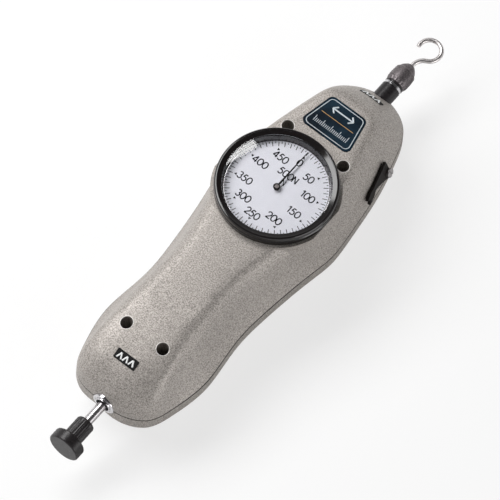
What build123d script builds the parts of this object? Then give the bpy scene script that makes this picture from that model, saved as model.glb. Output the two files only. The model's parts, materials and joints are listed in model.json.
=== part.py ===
from build123d import *
import os
from dataclasses import dataclass
from math import acos, cos, pi, radians, sin, sqrt, tan

# Mechanical push and pull force gauge, millimetres.
# The origin is the centre of the four tapped holes in the flat back, under the dial axis.
# +Y runs to the pull end, +Z out of the dial, +X to the side of the hold lever.

# --- Case form
PUSH_END_Y = -112.0  # case end on the push side
PULL_END_Y = 72.7  # case end on the pull side
DIAL_HALF = 30.1  # half width beside the dial, the widest place
WAIST_HALF = 24.3  # half width of the grip
WAIST_Y = -54.0
HEEL_HALF = 26.5  # half width of the swelling below the grip
HEEL_Y = -76.5
REAR_DEPTH = 21.0  # flat back to parting plane, which holds the shaft axis
FRONT_DEPTH = 25.9  # parting plane to crown
REAR_ROUND = 9.0  # how far the flat back lies inside the outline
WALL = 2.4
CROWN_DIAL_HALF = 20.0  # half width of the flat crown beside the dial
CROWN_GRIP_HALF = 9.0  # half width of the flat crown over the grip
CROWN_PUSH_Y = -60.0
CROWN_PULL_Y = 51.0
LIP_HEIGHT = 0.35  # shadow line between the two covers
LIP_INSET = 0.45

# --- Clearances
RUNNING = 0.05  # radial, shaft in bush
SEATED = 0.01  # radial, pieces fixed to each other
GAP = 0.3  # between pieces that move past each other

# --- Dial and bezel
BOSS_RADIUS = 27.4
BOSS_FLAT = 26.1  # half distance across the two flats of the dial boss
BEZEL_RADIUS = 26.1
BEZEL_HEIGHT = 5.3  # above the crown
BEZEL_LIP_RADIUS = 22.7
SPIGOT_RADIUS = 24.6
SPIGOT_BORE = 23.2
SPIGOT_DEPTH = 4.1  # below the crown
SNAP_WIRE = 0.9
SNAP_DROP = 2.9  # middle of the snap ring below the crown
CRYSTAL_THICKNESS = 1.5
DIAL_PLATE_THICKNESS = 0.8
DIAL_CARRIER_THICKNESS = 2.0
DIAL_CARRIER_BORE = 12.0
SPACER_RADIUS = 21.95  # inside of the bright ring round the dial

# --- Shaft line
STROKE = 10.053
ROD_RADIUS = 2.1  # bright rod at the push end
SHAFT_RADIUS = 4.0
COLLAR_RADIUS = 5.4  # bright collar of the push bush
COLLAR_FACE_Y = -113.0
PUSH_BLOCK = 6.0  # solid end of the case round the push bush
PUSH_NECK_RADIUS = 3.6
HEAD_RADIUS = 7.3
HEAD_THICKNESS = 5.0
HUB_RADIUS = 4.2
HUB_LENGTH = 10.4
CHUCK_RADIUS = 4.3
CHUCK_Y = 56.0  # inner end of the hook chuck
SLEEVE_Y = 80.1
SLEEVE_RADIUS = 4.95
SLEEVE_LENGTH = 11.2
PULL_BLOCK = 11.0  # solid end of the case round the pull bush
PULL_NECK_RADIUS = 6.0
BUSH_FLANGE = 1.6

# --- Measuring spring
SPRING_WIRE = 3.5
SPRING_MEAN_RADIUS = 8.5
SPRING_TURNS = 7
STEPS_PER_TURN = 14
SPRING_LENGTH = 44.0
SPRING_Y = -78.0  # end that the shaft carries
SEAT_THICKNESS = 3.0
ANCHOR_THICKNESS = 3.0

# --- Movement
MODULE = 0.4
RACK_X = -7.2  # pitch line of the rack
IDLER_PINION_TEETH = 20
IDLER_GEAR_TEETH = 40
CENTRE_PINION_TEETH = 16
PRESSURE_ANGLE = 20.0
BACKLASH = 0.06
ARBOR_RADIUS = 0.9
PLATE_DROP = 2.0  # movement plate above the shaft
PLATE_THICKNESS = 1.5
PLATE_SPACING = 7.5
POST_X = 15.0
POST_Y = 14.0
POST_RADIUS = 3.0
PILLAR_RADIUS = 2.2
MOVEMENT_SCREW_RADIUS = 1.0
GUIDE_RADIUS = 1.5
GUIDE_X = 9.0
LUG_THICKNESS = 3.0

# --- Fasteners and mounts
UPPER_SCREW = (14.6, 25.8)
LOWER_SCREW = (9.5, -86.5)
RECESS_RADIUS = 2.75
SCREW_RADIUS = 1.5
SCREW_HEAD_RADIUS = 2.5
SCREW_SEAT = 4.0  # screw seat above the parting plane
SCREW_BITE = 9.0  # thread length in the rear cover
SCREW_HEAD_HEIGHT = 2.2
SOCKET_RADIUS = 1.2
MOUNT_X = 14.0
MOUNT_Y = 30.0
MOUNT_HOLE_RADIUS = 1.65
MOUNT_HOLE_DEPTH = 6.0

# --- Plates and lever
BADGE_Y = 31.2  # wide edge of the badge
BADGE_LENGTH = 17.5
BADGE_WIDE_HALF = 12.8
BADGE_NARROW_HALF = 9.2
BADGE_THICKNESS = 0.6
BADGE_SINK = 0.5  # how far the badge lies in the crown
LABEL_LENGTH = 10.9
LABEL_WIDTH = 4.5
LABEL_THICKNESS = 0.25
PUSH_LABEL_Y = -98.4
PULL_LABEL_Y = 64.2
LEVER_THICKNESS = 1.4
LEVER_SCREW_RADIUS = 1.5
LEVER_Y = 44.5
LEVER_HEIGHT = 3.6  # pivot above the parting plane
LEVER_BOSS_DEPTH = 4.6
CAM_THICKNESS = 1.4
HOOK_WIRE = 1.0
HOOK_RADIUS = 5.0

# --- Heights worked out from the sizes above
CROWN_Z = REAR_DEPTH + FRONT_DEPTH
SHAFT_Z = REAR_DEPTH
SHAFT_AXIS = Axis((0, 0, SHAFT_Z), (0, 1, 0))
FAR = 200.0  # longer than anything it cuts


@dataclass(frozen=True)
class Station:
    """A place on the right half of the case, from the push end round to the pull end.

    x, y lie on the parting line and crown_x, crown_y on the edge of the crown. flank gives
    how the wall rises between them: the shares of a flare, a slope and a dome.
    """

    x: float
    y: float
    crown_x: float
    crown_y: float
    flank: tuple


DOMED = (0.0, 0.0, 1.0)
HEELED = (0.2, 0.0, 0.8)
GRIPPED = (0.37, 0.0, 0.63)
SHOULDERED = (0.25, 0.1, 0.65)
UPRIGHT = (0.14, 0.3, 0.56)
EASED = (0.05, 0.5, 0.45)
SLOPED = (0.0, 0.75, 0.25)


def heel(share):
    """Return the y that lies a share of the way from the heel to the push end."""
    return HEEL_Y + share * (PUSH_END_Y - HEEL_Y)


STATIONS = (
    Station(0, PUSH_END_Y, 0, CROWN_PUSH_Y, DOMED),
    Station(0.45 * HEEL_HALF, heel(0.97), 0.33 * CROWN_GRIP_HALF, 0.99 * CROWN_PUSH_Y, DOMED),
    Station(0.73 * HEEL_HALF, heel(0.83), 0.67 * CROWN_GRIP_HALF, 0.95 * CROWN_PUSH_Y, DOMED),
    Station(0.88 * HEEL_HALF, heel(0.56), 0.89 * CROWN_GRIP_HALF, 0.88 * CROWN_PUSH_Y, HEELED),
    Station(HEEL_HALF, HEEL_Y, CROWN_GRIP_HALF, 0.78 * CROWN_PUSH_Y, GRIPPED),
    Station(0.977 * HEEL_HALF, heel(-0.225), CROWN_GRIP_HALF, 0.7 * CROWN_PUSH_Y, GRIPPED),
    Station(WAIST_HALF, WAIST_Y, 1.06 * CROWN_GRIP_HALF, 0.6 * CROWN_PUSH_Y, GRIPPED),
    Station(1.04 * WAIST_HALF, 0.637 * WAIST_Y, 0.6 * CROWN_DIAL_HALF, 0.45 * CROWN_PUSH_Y, GRIPPED),
    Station(0.95 * DIAL_HALF, 0.185 * WAIST_Y, 0.85 * CROWN_DIAL_HALF, 0.22 * CROWN_PUSH_Y, SHOULDERED),
    Station(DIAL_HALF, 0, CROWN_DIAL_HALF, 0, UPRIGHT),
    Station(0.97 * DIAL_HALF, 0.19 * PULL_END_Y, CROWN_DIAL_HALF, 0.235 * CROWN_PULL_Y, EASED),
    Station(0.854 * DIAL_HALF, 0.52 * PULL_END_Y, 0.85 * CROWN_DIAL_HALF, 0.59 * CROWN_PULL_Y, SLOPED),
    Station(0.714 * DIAL_HALF, 0.743 * PULL_END_Y, 0.7 * CROWN_DIAL_HALF, 0.824 * CROWN_PULL_Y, SLOPED),
    Station(0.515 * DIAL_HALF, 0.915 * PULL_END_Y, 0.55 * CROWN_DIAL_HALF, 0.961 * CROWN_PULL_Y, SLOPED),
    Station(0.2 * DIAL_HALF, 0.988 * PULL_END_Y, 0.25 * CROWN_DIAL_HALF, CROWN_PULL_Y, SLOPED),
    Station(0, PULL_END_Y, 0, CROWN_PULL_Y, SLOPED),
)
REAR_UPRIGHT = 0.28  # share of the rear cover's depth whose wall stands upright

# Shares of a cover's depth where its wall changes slope, outside and inside
FRONT_LEVELS = (0.0, 0.12, 0.3, 0.5, 0.68, 0.82, 0.92, 0.98, 1.0)
FRONT_CAVITY_LEVELS = (0.0, 0.25, 0.6, 0.85, 0.96, 1.0)
REAR_LEVELS = (0.0, REAR_UPRIGHT, 0.5, 0.7, 0.85, 0.95, 1.0)
REAR_CAVITY_LEVELS = (0.0, REAR_UPRIGHT, 0.7, 0.9, 1.0)


def flare(rise):
    """Return the inward share of a wall that is flattest at the parting line."""
    return 1 - (1 - rise) ** 3


def dome(rise):
    """Return the inward share of a wall that stands up and rounds over into the crown."""
    return 1 - (1 - rise**2.5) ** 0.4


def front_points(rise):
    """Return the right half of the front cover's contour at a share of its depth."""
    points = []
    for station in STATIONS:
        flared, sloped, domed = station.flank
        inward = flared * flare(rise) + sloped * rise + domed * dome(rise)
        along = dome(rise) if station.y < 0 else 0.75 * rise + 0.25 * dome(rise)
        x = station.x + inward * (station.crown_x - station.x)
        y = station.y + along * (station.crown_y - station.y)
        points.append(Vector(x, y))
    return points


def rear_points(depth):
    """Return the right half of the rear cover's contour at a share of its depth."""
    turned = max(0.0, (depth - REAR_UPRIGHT) / (1 - REAR_UPRIGHT))
    inward = REAR_ROUND * (1 - sqrt(1 - turned**2))
    middle = (PULL_END_Y + PUSH_END_Y) / 2
    half_length = (PULL_END_Y - PUSH_END_Y) / 2
    width_share = 1 - inward / DIAL_HALF
    length_share = 1 - inward / half_length
    return [Vector(s.x * width_share, middle + (s.y - middle) * length_share) for s in STATIONS]


def contour(points, height, inset=0.0):
    """Return the closed face through a right half and its mirror image, moved in by a wall."""
    ring = list(points) + [Vector(-p.X, p.Y) for p in reversed(points[1:-1])]
    moved = []
    for index, point in enumerate(ring):
        along = (ring[(index + 1) % len(ring)] - ring[index - 1]).normalized()
        moved.append((point.X - inset * along.Y, point.Y + inset * along.X, height))
    return make_face(Spline(*moved, periodic=True))


def front_form():
    """Return the solid between the parting plane and the crown."""
    levels = [contour(front_points(t), REAR_DEPTH + t * FRONT_DEPTH) for t in FRONT_LEVELS]
    return loft(levels, ruled=True)


def front_cavity():
    """Return the hollow of the front cover, one wall inside its skin."""
    depth = FRONT_DEPTH - WALL
    levels = [contour(front_points(t), REAR_DEPTH + t * depth, WALL) for t in FRONT_CAVITY_LEVELS]
    return loft(levels, ruled=True)


def rear_form(top):
    """Return the solid between the flat back and a height below the parting plane."""
    return loft([contour(rear_points(t), top - t * top) for t in reversed(REAR_LEVELS)], ruled=True)


def rear_cavity(top):
    """Return the hollow of the rear cover up to a height, one wall inside its skin."""
    depth = top - WALL
    levels = [contour(rear_points(t), top - t * depth, WALL) for t in reversed(REAR_CAVITY_LEVELS)]
    return loft(levels, ruled=True)


def turned(profile):
    """Return the solid that a profile of (radius, y) points sweeps round the shaft axis."""
    outline = Polyline(*[(r, y, SHAFT_Z) for r, y in profile], close=True)
    return revolve(make_face(outline), SHAFT_AXIS)


def spun(profile, x=0.0, y=0.0):
    """Return the solid that a profile of (radius, z) points sweeps round an upright axis."""
    outline = Polyline(*[(r, 0, z) for r, z in profile], close=True)
    return Pos(x, y, 0) * revolve(make_face(outline), Axis.Z)


def rod(radius, start, end):
    """Return a cylinder on the shaft axis between two y values."""
    return turned([(0, start), (radius, start), (radius, end), (0, end)])


def post(radius, low, high, x=0.0, y=0.0):
    """Return an upright cylinder between two heights."""
    return spun([(0, low), (radius, low), (radius, high), (0, high)], x, y)


def ring(outer, inner, low, high, x=0.0, y=0.0):
    """Return an upright sleeve between two heights."""
    return spun([(inner, low), (outer, low), (outer, high), (inner, high)], x, y)


def block(x_range, y_range, z_range):
    """Return the box between pairs of x, y and z values."""
    sizes = [high - low for low, high in (x_range, y_range, z_range)]
    centre = [(high + low) / 2 for low, high in (x_range, y_range, z_range)]
    return Pos(*centre) * Box(*sizes)


def four(x, y):
    """Return the four places that mirror one place across both axes."""
    return [(sx * x, sy * y) for sx in (-1, 1) for sy in (-1, 1)]


def pair(place):
    """Return a place and its mirror image across the middle of the case."""
    return [(-place[0], place[1]), place]


SCREW_PLACES = pair(UPPER_SCREW) + pair(LOWER_SCREW)
SCREW_BOSS_RADIUS = RECESS_RADIUS + 1.25
POST_PLACES = four(POST_X, POST_Y)
MOUNT_PLACES = four(MOUNT_X, MOUNT_Y)

# Places along the shaft, worked out from the sizes above
PUSH_BLOCK_Y = PUSH_END_Y + PUSH_BLOCK
PULL_BLOCK_Y = PULL_END_Y - PULL_BLOCK
COLLAR_SEAT_Y = COLLAR_FACE_Y + 2.0
SHOULDER_Y = PUSH_BLOCK_Y + BUSH_FLANGE + GAP
HUB_Y = COLLAR_FACE_Y - STROKE - GAP
HEAD_Y = HUB_Y - HUB_LENGTH
ROD_END_Y = HUB_Y - 0.8 * HUB_LENGTH
SEAT_Y = SPRING_Y - SEAT_THICKNESS
ANCHOR_Y = SPRING_Y + SPRING_LENGTH
RIB_Y = ANCHOR_Y + ANCHOR_THICKNESS
SPRING_OUTER = SPRING_MEAN_RADIUS + SPRING_WIRE / 2

LUG_Y = POST_Y + POST_RADIUS + 1  # lugs of the rear cover that hold the guide rod

# Heights of the movement, worked out from the sizes above
PLATE_Z = SHAFT_Z + SHAFT_RADIUS + PLATE_DROP
PLATE_TOP = PLATE_Z + PLATE_THICKNESS
BRIDGE_Z = PLATE_TOP + PLATE_SPACING
BRIDGE_TOP = BRIDGE_Z + PLATE_THICKNESS
RACK_LOW = SHAFT_Z + 1.2
RACK_HIGH = PLATE_Z - 1.5
GEAR_LOW = PLATE_TOP + 1.6
GEAR_HIGH = GEAR_LOW + 1.5
IDLER_X = RACK_X - MODULE * IDLER_PINION_TEETH / 2
CARRIER_X = RACK_X + 2.4

# Heights of the dial, worked out from the sizes above
DIAL_Z = CROWN_Z
BEZEL_TOP = CROWN_Z + BEZEL_HEIGHT
CRYSTAL_TOP = BEZEL_TOP - 1.0
CRYSTAL_LOW = CRYSTAL_TOP - CRYSTAL_THICKNESS
NEEDLE_Z = (DIAL_Z + CRYSTAL_LOW) / 2
BOSS_BORE = SPIGOT_RADIUS + RUNNING
GROOVE_RADIUS = BOSS_BORE + 0.8


def shell_features(bosses, seats):
    """Return the inner features that both covers need: end blocks, spring rib, screw bosses."""
    features = [block((-COLLAR_RADIUS - 2, COLLAR_RADIUS + 2), (PUSH_END_Y, PUSH_BLOCK_Y), seats)]
    features.append(block((-PULL_NECK_RADIUS - 3, PULL_NECK_RADIUS + 3), (PULL_BLOCK_Y, PULL_END_Y), seats))
    features.append(block((-DIAL_HALF, DIAL_HALF), (RIB_Y, RIB_Y + WALL), seats))
    for x, y in SCREW_PLACES:
        features.append(post(SCREW_BOSS_RADIUS, *bosses, x, y))
    return features


def shaft_bores():
    """Return what the shaft line cuts from both covers."""
    collar = rod(COLLAR_RADIUS + SEATED, PUSH_END_Y - 20, COLLAR_SEAT_Y)
    push_neck = rod(PUSH_NECK_RADIUS + SEATED, COLLAR_SEAT_Y, PUSH_BLOCK_Y)
    rib_bore = rod(SHAFT_RADIUS + 1.0, RIB_Y, RIB_Y + WALL)
    pull_neck = rod(PULL_NECK_RADIUS + SEATED, PULL_BLOCK_Y, PULL_BLOCK_Y + 6)
    pull_mouth = rod(CHUCK_RADIUS + GAP, PULL_BLOCK_Y, PULL_END_Y + 20)
    return [collar, push_neck, rib_bore, pull_neck, pull_mouth]


def badge_outline(grow=0.0):
    """Return the badge's four-sided outline with round corners on the crown."""
    low, high = BADGE_Y - grow, BADGE_Y + BADGE_LENGTH + grow
    wide, narrow = BADGE_WIDE_HALF + grow, BADGE_NARROW_HALF + grow
    corners = [(-wide, low), (wide, low), (narrow, high), (-narrow, high)]
    face = make_face(Polyline(*corners, close=True))
    return fillet(face.vertices(), 2.6)


def front_cover(form, lever):
    """Return the front cover: a moulded shell with its dial boss, screw pits and lever boss."""
    seats = (REAR_DEPTH, REAR_DEPTH + SPRING_OUTER)
    boss = post(BOSS_RADIUS, REAR_DEPTH, CROWN_Z) & block((-BOSS_FLAT, BOSS_FLAT), (-FAR, FAR), (0, FAR))
    hollow = front_cavity() - shell_features((REAR_DEPTH, CROWN_Z), seats)
    shell = form + boss - hollow + lever.boss()
    drop = CROWN_Z - SNAP_DROP
    groove_half = SNAP_WIRE / 2 + 0.15
    cuts = [
        post(BOSS_BORE, REAR_DEPTH + SCREW_SEAT, CROWN_Z + 1),
        post(GROOVE_RADIUS, drop - groove_half, drop + groove_half),
        Pos(0, 0, CROWN_Z - BADGE_SINK) * extrude(badge_outline(0.15), BADGE_THICKNESS),
        lever.bore(),
    ]
    for x, y in SCREW_PLACES:
        cuts.append(post(RECESS_RADIUS, REAR_DEPTH + SCREW_SEAT, FAR, x, y))
        cuts.append(post(SCREW_RADIUS + RUNNING, 0, FAR, x, y))
    return shell - cuts - shaft_bores()


def rear_cover():
    """Return the rear cover: a deep tray with posts, screw bosses and tapped mounting holes."""
    top = REAR_DEPTH - LIP_HEIGHT
    outer = rear_form(top) + extrude(contour(rear_points(0), top, LIP_INSET), LIP_HEIGHT)
    cavity = rear_cavity(top) + extrude(contour(rear_points(0), top, WALL), LIP_HEIGHT)
    features = shell_features((0, REAR_DEPTH), (0, REAR_DEPTH))
    for x, y in POST_PLACES:
        features.append(post(POST_RADIUS, 0, REAR_DEPTH, x, y))
    for x, y in MOUNT_PLACES:
        features.append(post(MOUNT_HOLE_RADIUS + WALL, 0, MOUNT_HOLE_DEPTH + WALL, x, y))
    width = (GUIDE_X - GUIDE_RADIUS - 1.5, GUIDE_X + GUIDE_RADIUS + 1.5)
    for side in (-1, 1):
        ends = sorted((side * LUG_Y, side * (LUG_Y + LUG_THICKNESS)))
        features.append(block(width, ends, (0, REAR_DEPTH)))
    shell = outer - (cavity - features)
    shell += [post(POST_RADIUS, REAR_DEPTH - 1, PLATE_Z, x, y) for x, y in POST_PLACES]
    cuts = [post(MOVEMENT_SCREW_RADIUS + RUNNING, PLATE_Z - 7, PLATE_Z, x, y) for x, y in POST_PLACES]
    cuts += [post(MOUNT_HOLE_RADIUS, -1, MOUNT_HOLE_DEPTH, x, y) for x, y in MOUNT_PLACES]
    bite = REAR_DEPTH - SCREW_BITE - 1
    cuts += [post(SCREW_RADIUS + RUNNING, bite, REAR_DEPTH, x, y) for x, y in SCREW_PLACES]
    cuts.append(Pos(GUIDE_X, 0, 0) * rod(GUIDE_RADIUS + SEATED, -LUG_Y - LUG_THICKNESS, LUG_Y + LUG_THICKNESS))
    return shell - cuts - shaft_bores()


def case_screws():
    """Return the four socket screws that hold the covers together."""
    seat = REAR_DEPTH + SCREW_SEAT
    low, top, floor = REAR_DEPTH - SCREW_BITE, seat + SCREW_HEAD_HEIGHT, seat + 0.8
    profile = [
        (0, low), (SCREW_RADIUS, low), (SCREW_RADIUS, seat), (SCREW_HEAD_RADIUS, seat),
        (SCREW_HEAD_RADIUS, top), (SOCKET_RADIUS, top), (SOCKET_RADIUS, floor), (0, floor),
    ]
    return [spun(profile, x, y) for x, y in SCREW_PLACES]


class Lever:
    """The hold lever, its pivot screw and its cam, on a plane laid over the right flank."""

    # Outline about the pivot: along the lever to its finger tab, and across it, downwards.
    APEX = (-2.5, -6.1)
    HEEL = ((-0.6, 3.4), (0.8, 3.2))
    NECK = ((10.0, -4.9), (10.0, -7.5))
    TAB = ((12.2, -4.0), (16.6, -4.6), (14.9, -6.1), (16.2, -7.9), (12.4, -8.3))

    def __init__(self, form):
        """Lay the lever's plane over the highest points of the flank that it sweeps."""

        def skin(y, z):
            """Return the point of the flank at a place along and above the case."""
            inside = Line((0, y, z), (FAR, y, z)) & form
            return inside.edges()[0] @ 1

        low = REAR_DEPTH + 1.5
        high = REAR_DEPTH + 0.4 * FRONT_DEPTH
        near, far = LEVER_Y + 1.5, LEVER_Y - 17.0
        upper, tip, lower = skin(near, high), skin(far, REAR_DEPTH + 5.5), skin(near, low)
        along = (tip - upper).normalized()
        normal = along.cross(upper - lower).normalized()
        self.normal = normal if normal.X > 0 else normal * -1
        pivot = skin(LEVER_Y, REAR_DEPTH + LEVER_HEIGHT)
        spots = [skin(near + i * (far - near) / 6, low + j * (high - low) / 3) for i in range(7) for j in range(4)]
        bulge = max((spot - pivot).dot(self.normal) for spot in spots)
        self.plane = Plane(origin=pivot + self.normal * (bulge + GAP), x_dir=along, z_dir=self.normal)
        self.bulge = bulge

    def local(self, shape, height=0.0):
        """Return a shape drawn about the pivot, moved to the lever's plane."""
        return self.plane.offset(height) * shape

    def boss(self):
        """Return the boss that carries the lever, cut off at the parting plane."""
        boss = self.local(Pos(0, 0, -LEVER_BOSS_DEPTH / 2) * Cylinder(2.9, LEVER_BOSS_DEPTH), -RUNNING)
        return boss & block((0, FAR), (0, FAR), (REAR_DEPTH, FAR))

    def bore(self):
        """Return the bore for the pivot screw through the wall."""
        return self.local(Cylinder(LEVER_SCREW_RADIUS + RUNNING, 40))

    def plate(self):
        """Return the lever: a flat plate that narrows to a forked finger tab."""
        heel_a, heel_b = self.HEEL
        neck_a, neck_b = self.NECK
        tab = self.TAB
        back = [Line(self.APEX, heel_a), Line(heel_a, heel_b)]
        sweep_in = ThreePointArc(heel_b, (5.6, -1.9), neck_a)
        end = Polyline(neck_a, *tab, neck_b)
        face = make_face(Curve() + back + [sweep_in, end, Line(neck_b, self.APEX)])
        plate = extrude(face, LEVER_THICKNESS) - Cylinder(LEVER_SCREW_RADIUS + SEATED, 10)
        return self.local(plate)

    def screw(self):
        """Return the bright pivot screw with its slot."""
        head = Pos(0, 0, LEVER_THICKNESS + 0.5) * Cylinder(2.1, 1.0)
        head -= Pos(0, 0, LEVER_THICKNESS + 0.95) * Box(0.5, 6, 0.5)
        depth = LEVER_BOSS_DEPTH + CAM_THICKNESS + 2 * GAP
        shank = Pos(0, 0, (LEVER_THICKNESS - depth) / 2) * Cylinder(LEVER_SCREW_RADIUS, LEVER_THICKNESS + depth)
        return self.local(head + shank)

    def cam(self):
        """Return the cam inside the case that the lever turns."""
        lobe = Cylinder(2.6, CAM_THICKNESS) + Pos(1.6, 0, 0) * Cylinder(1.8, CAM_THICKNESS)
        lobe -= Cylinder(LEVER_SCREW_RADIUS + SEATED, 10)
        return self.local(lobe, -LEVER_BOSS_DEPTH - GAP - CAM_THICKNESS / 2)


def skin_label(form, y):
    """Return a thin plate that follows the curved skin of the case over the shaft axis."""
    up = [(Line((0, y + d, 0), (0, y + d, FAR)) & form).edges()[0] @ 1 for d in (-1.5, 0, 1.5)]
    slope = (up[2] - up[0]).normalized()
    normal = Vector(1, 0, 0).cross(slope)
    plane = Plane(origin=up[1], x_dir=(1, 0, 0), z_dir=normal)
    outline = plane * Pos(0, 0, -3) * extrude(RectangleRounded(LABEL_LENGTH, LABEL_WIDTH, 0.4), 6)
    lifted = Pos(*(normal * LABEL_THICKNESS)) * form
    return (lifted & outline) - form


def spur_profile(teeth, phase=0.0):
    """Return the face of a gear with involute teeth, turned by a phase in degrees."""
    pitch = MODULE * teeth / 2
    base = pitch * cos(radians(PRESSURE_ANGLE))
    root, tip = pitch - 1.2 * MODULE, pitch + 0.9 * MODULE
    at_pitch = pi / (2 * teeth) - BACKLASH / (2 * pitch)

    def half_tooth(radius):
        """Return half the angle of a tooth at a radius."""
        spread = acos(base / radius)
        pitch_angle = radians(PRESSURE_ANGLE)
        return at_pitch + (tan(pitch_angle) - pitch_angle) - (tan(spread) - spread)

    start = max(base, root)
    radii = [start + (tip - start) * share for share in (0, 0.4, 1)]
    points = []
    for tooth in range(teeth):
        middle = radians(phase) + 2 * pi * tooth / teeth
        flank = [(r, half_tooth(r)) for r in radii]
        if root < base:
            flank.insert(0, (root, half_tooth(base)))
        for radius, half in flank:
            points.append((radius * cos(middle - half), radius * sin(middle - half)))
        for radius, half in reversed(flank):
            points.append((radius * cos(middle + half), radius * sin(middle + half)))
    return make_face(Polyline(*points, close=True))


def spur_gear(teeth, low, high, x, phase=0.0):
    """Return a gear between two heights, bored for its arbor."""
    gear = extrude(spur_profile(teeth, phase), high - low) - Cylinder(ARBOR_RADIUS + SEATED, 20)
    return Pos(x, 0, low) * gear


def rack():
    """Return the rack, whose teeth point to the idler pinion through the whole stroke."""
    pitch = pi * MODULE
    back = CARRIER_X
    count = int(STROKE / pitch) + 7
    slant = tan(radians(PRESSURE_ANGLE))
    tip, root = RACK_X - 0.9 * MODULE, RACK_X + 1.2 * MODULE
    half = pitch / 4 - BACKLASH / 2
    low = pitch * 4
    points = [(back, low), (root, low)]
    for tooth in range(count):
        middle = low - (tooth + 0.5) * pitch
        at_root, at_tip = half + 1.2 * MODULE * slant, half - 0.9 * MODULE * slant
        points += [(root, middle + at_root), (tip, middle + at_tip)]
        points += [(tip, middle - at_tip), (root, middle - at_root)]
    end = low - count * pitch
    points += [(root, end), (back, end)]
    return Pos(0, 0, RACK_LOW) * extrude(make_face(Polyline(*points, close=True)), RACK_HIGH - RACK_LOW)


def rack_carrier():
    """Return the block on the shaft that carries the rack and runs on the guide rod."""
    length = (-12.0, 2.0)
    body = block((CARRIER_X, SHAFT_RADIUS + 1.5), length, (SHAFT_Z - 5.5, SHAFT_Z + SHAFT_RADIUS + 1.2))
    ear = block((SHAFT_RADIUS + 1, GUIDE_X + GUIDE_RADIUS + 0.9), length, (SHAFT_Z - 2.6, SHAFT_Z + 2.6))
    body += ear
    body -= rod(SHAFT_RADIUS + SEATED, -FAR, FAR)
    return body - Pos(GUIDE_X, 0, 0) * rod(GUIDE_RADIUS + RUNNING, -FAR, FAR)


def guide_rod():
    """Return the fixed rod that keeps the shaft from turning."""
    end = LUG_Y + LUG_THICKNESS
    return Pos(GUIDE_X, 0, 0) * rod(GUIDE_RADIUS, -end, end)


def measuring_shaft():
    """Return the shaft: the bright rod, the working diameter and the shoulder for the spring."""
    shoulder = SHAFT_RADIUS + 2.0
    return turned([
        (0, ROD_END_Y), (ROD_RADIUS, ROD_END_Y), (ROD_RADIUS, SHOULDER_Y), (SHAFT_RADIUS, SHOULDER_Y),
        (SHAFT_RADIUS, SEAT_Y - 3), (shoulder, SEAT_Y - 3), (shoulder, SEAT_Y), (SHAFT_RADIUS, SEAT_Y),
        (SHAFT_RADIUS, CHUCK_Y), (2.5, CHUCK_Y), (2.5, CHUCK_Y + 7), (0, CHUCK_Y + 7),
    ])


def push_head():
    """Return the flat push head with its hub, bored for the rod."""
    bore = ROD_RADIUS + RUNNING
    end = HEAD_Y - HEAD_THICKNESS
    return turned([
        (bore, HUB_Y), (HUB_RADIUS - 0.4, HUB_Y), (HUB_RADIUS, HUB_Y - 0.4), (HUB_RADIUS, HEAD_Y),
        (HEAD_RADIUS - 0.5, HEAD_Y), (HEAD_RADIUS, HEAD_Y - 0.5), (HEAD_RADIUS, end + 0.5),
        (HEAD_RADIUS - 0.5, end), (0, end), (0, ROD_END_Y), (bore, ROD_END_Y),
    ])


def push_bush():
    """Return the bright push bush: an outer collar, its neck and an inner flange."""
    bore = ROD_RADIUS + RUNNING
    lip = bore + 1.0
    inner = PUSH_BLOCK_Y + BUSH_FLANGE
    return turned([
        (bore, COLLAR_FACE_Y + 0.6), (lip, COLLAR_FACE_Y + 0.6), (lip + 0.3, COLLAR_FACE_Y),
        (COLLAR_RADIUS - 0.5, COLLAR_FACE_Y), (COLLAR_RADIUS, COLLAR_FACE_Y + 0.5),
        (COLLAR_RADIUS, COLLAR_SEAT_Y), (PUSH_NECK_RADIUS, COLLAR_SEAT_Y),
        (PUSH_NECK_RADIUS, PUSH_BLOCK_Y), (COLLAR_RADIUS, PUSH_BLOCK_Y), (COLLAR_RADIUS, inner), (bore, inner),
    ])


def pull_bush():
    """Return the pull bush that guides the hook chuck inside the case end."""
    bore = CHUCK_RADIUS + RUNNING
    return turned([
        (bore, PULL_BLOCK_Y - BUSH_FLANGE), (PULL_NECK_RADIUS + 1.5, PULL_BLOCK_Y - BUSH_FLANGE),
        (PULL_NECK_RADIUS + 1.5, PULL_BLOCK_Y), (PULL_NECK_RADIUS, PULL_BLOCK_Y),
        (PULL_NECK_RADIUS, PULL_BLOCK_Y + 6), (bore, PULL_BLOCK_Y + 6),
    ])


def hook_chuck():
    """Return the chuck body, screwed on the shaft's end, with a bright turned groove."""
    hole = CHUCK_Y + 7.2
    groove = SLEEVE_Y - 2.4
    return turned([
        (2.5 + SEATED, CHUCK_Y), (CHUCK_RADIUS, CHUCK_Y), (CHUCK_RADIUS, groove), (CHUCK_RADIUS - 0.5, groove + 0.3),
        (CHUCK_RADIUS - 0.5, groove + 1.3), (CHUCK_RADIUS, groove + 1.6), (CHUCK_RADIUS, SLEEVE_Y),
        (0, SLEEVE_Y), (0, hole), (2.5 + SEATED, hole),
    ])


def chuck_sleeve():
    """Return the bullet-shaped sleeve that grips the hook."""
    y = SLEEVE_Y
    bore = HOOK_WIRE + SEATED
    return turned([
        (bore, y), (CHUCK_RADIUS, y), (SLEEVE_RADIUS, y + 0.16 * SLEEVE_LENGTH),
        (SLEEVE_RADIUS, y + 0.5 * SLEEVE_LENGTH), (0.92 * SLEEVE_RADIUS, y + 0.68 * SLEEVE_LENGTH),
        (0.72 * SLEEVE_RADIUS, y + 0.86 * SLEEVE_LENGTH), (0.42 * SLEEVE_RADIUS, y + SLEEVE_LENGTH), (bore, y + SLEEVE_LENGTH),
    ])


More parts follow.
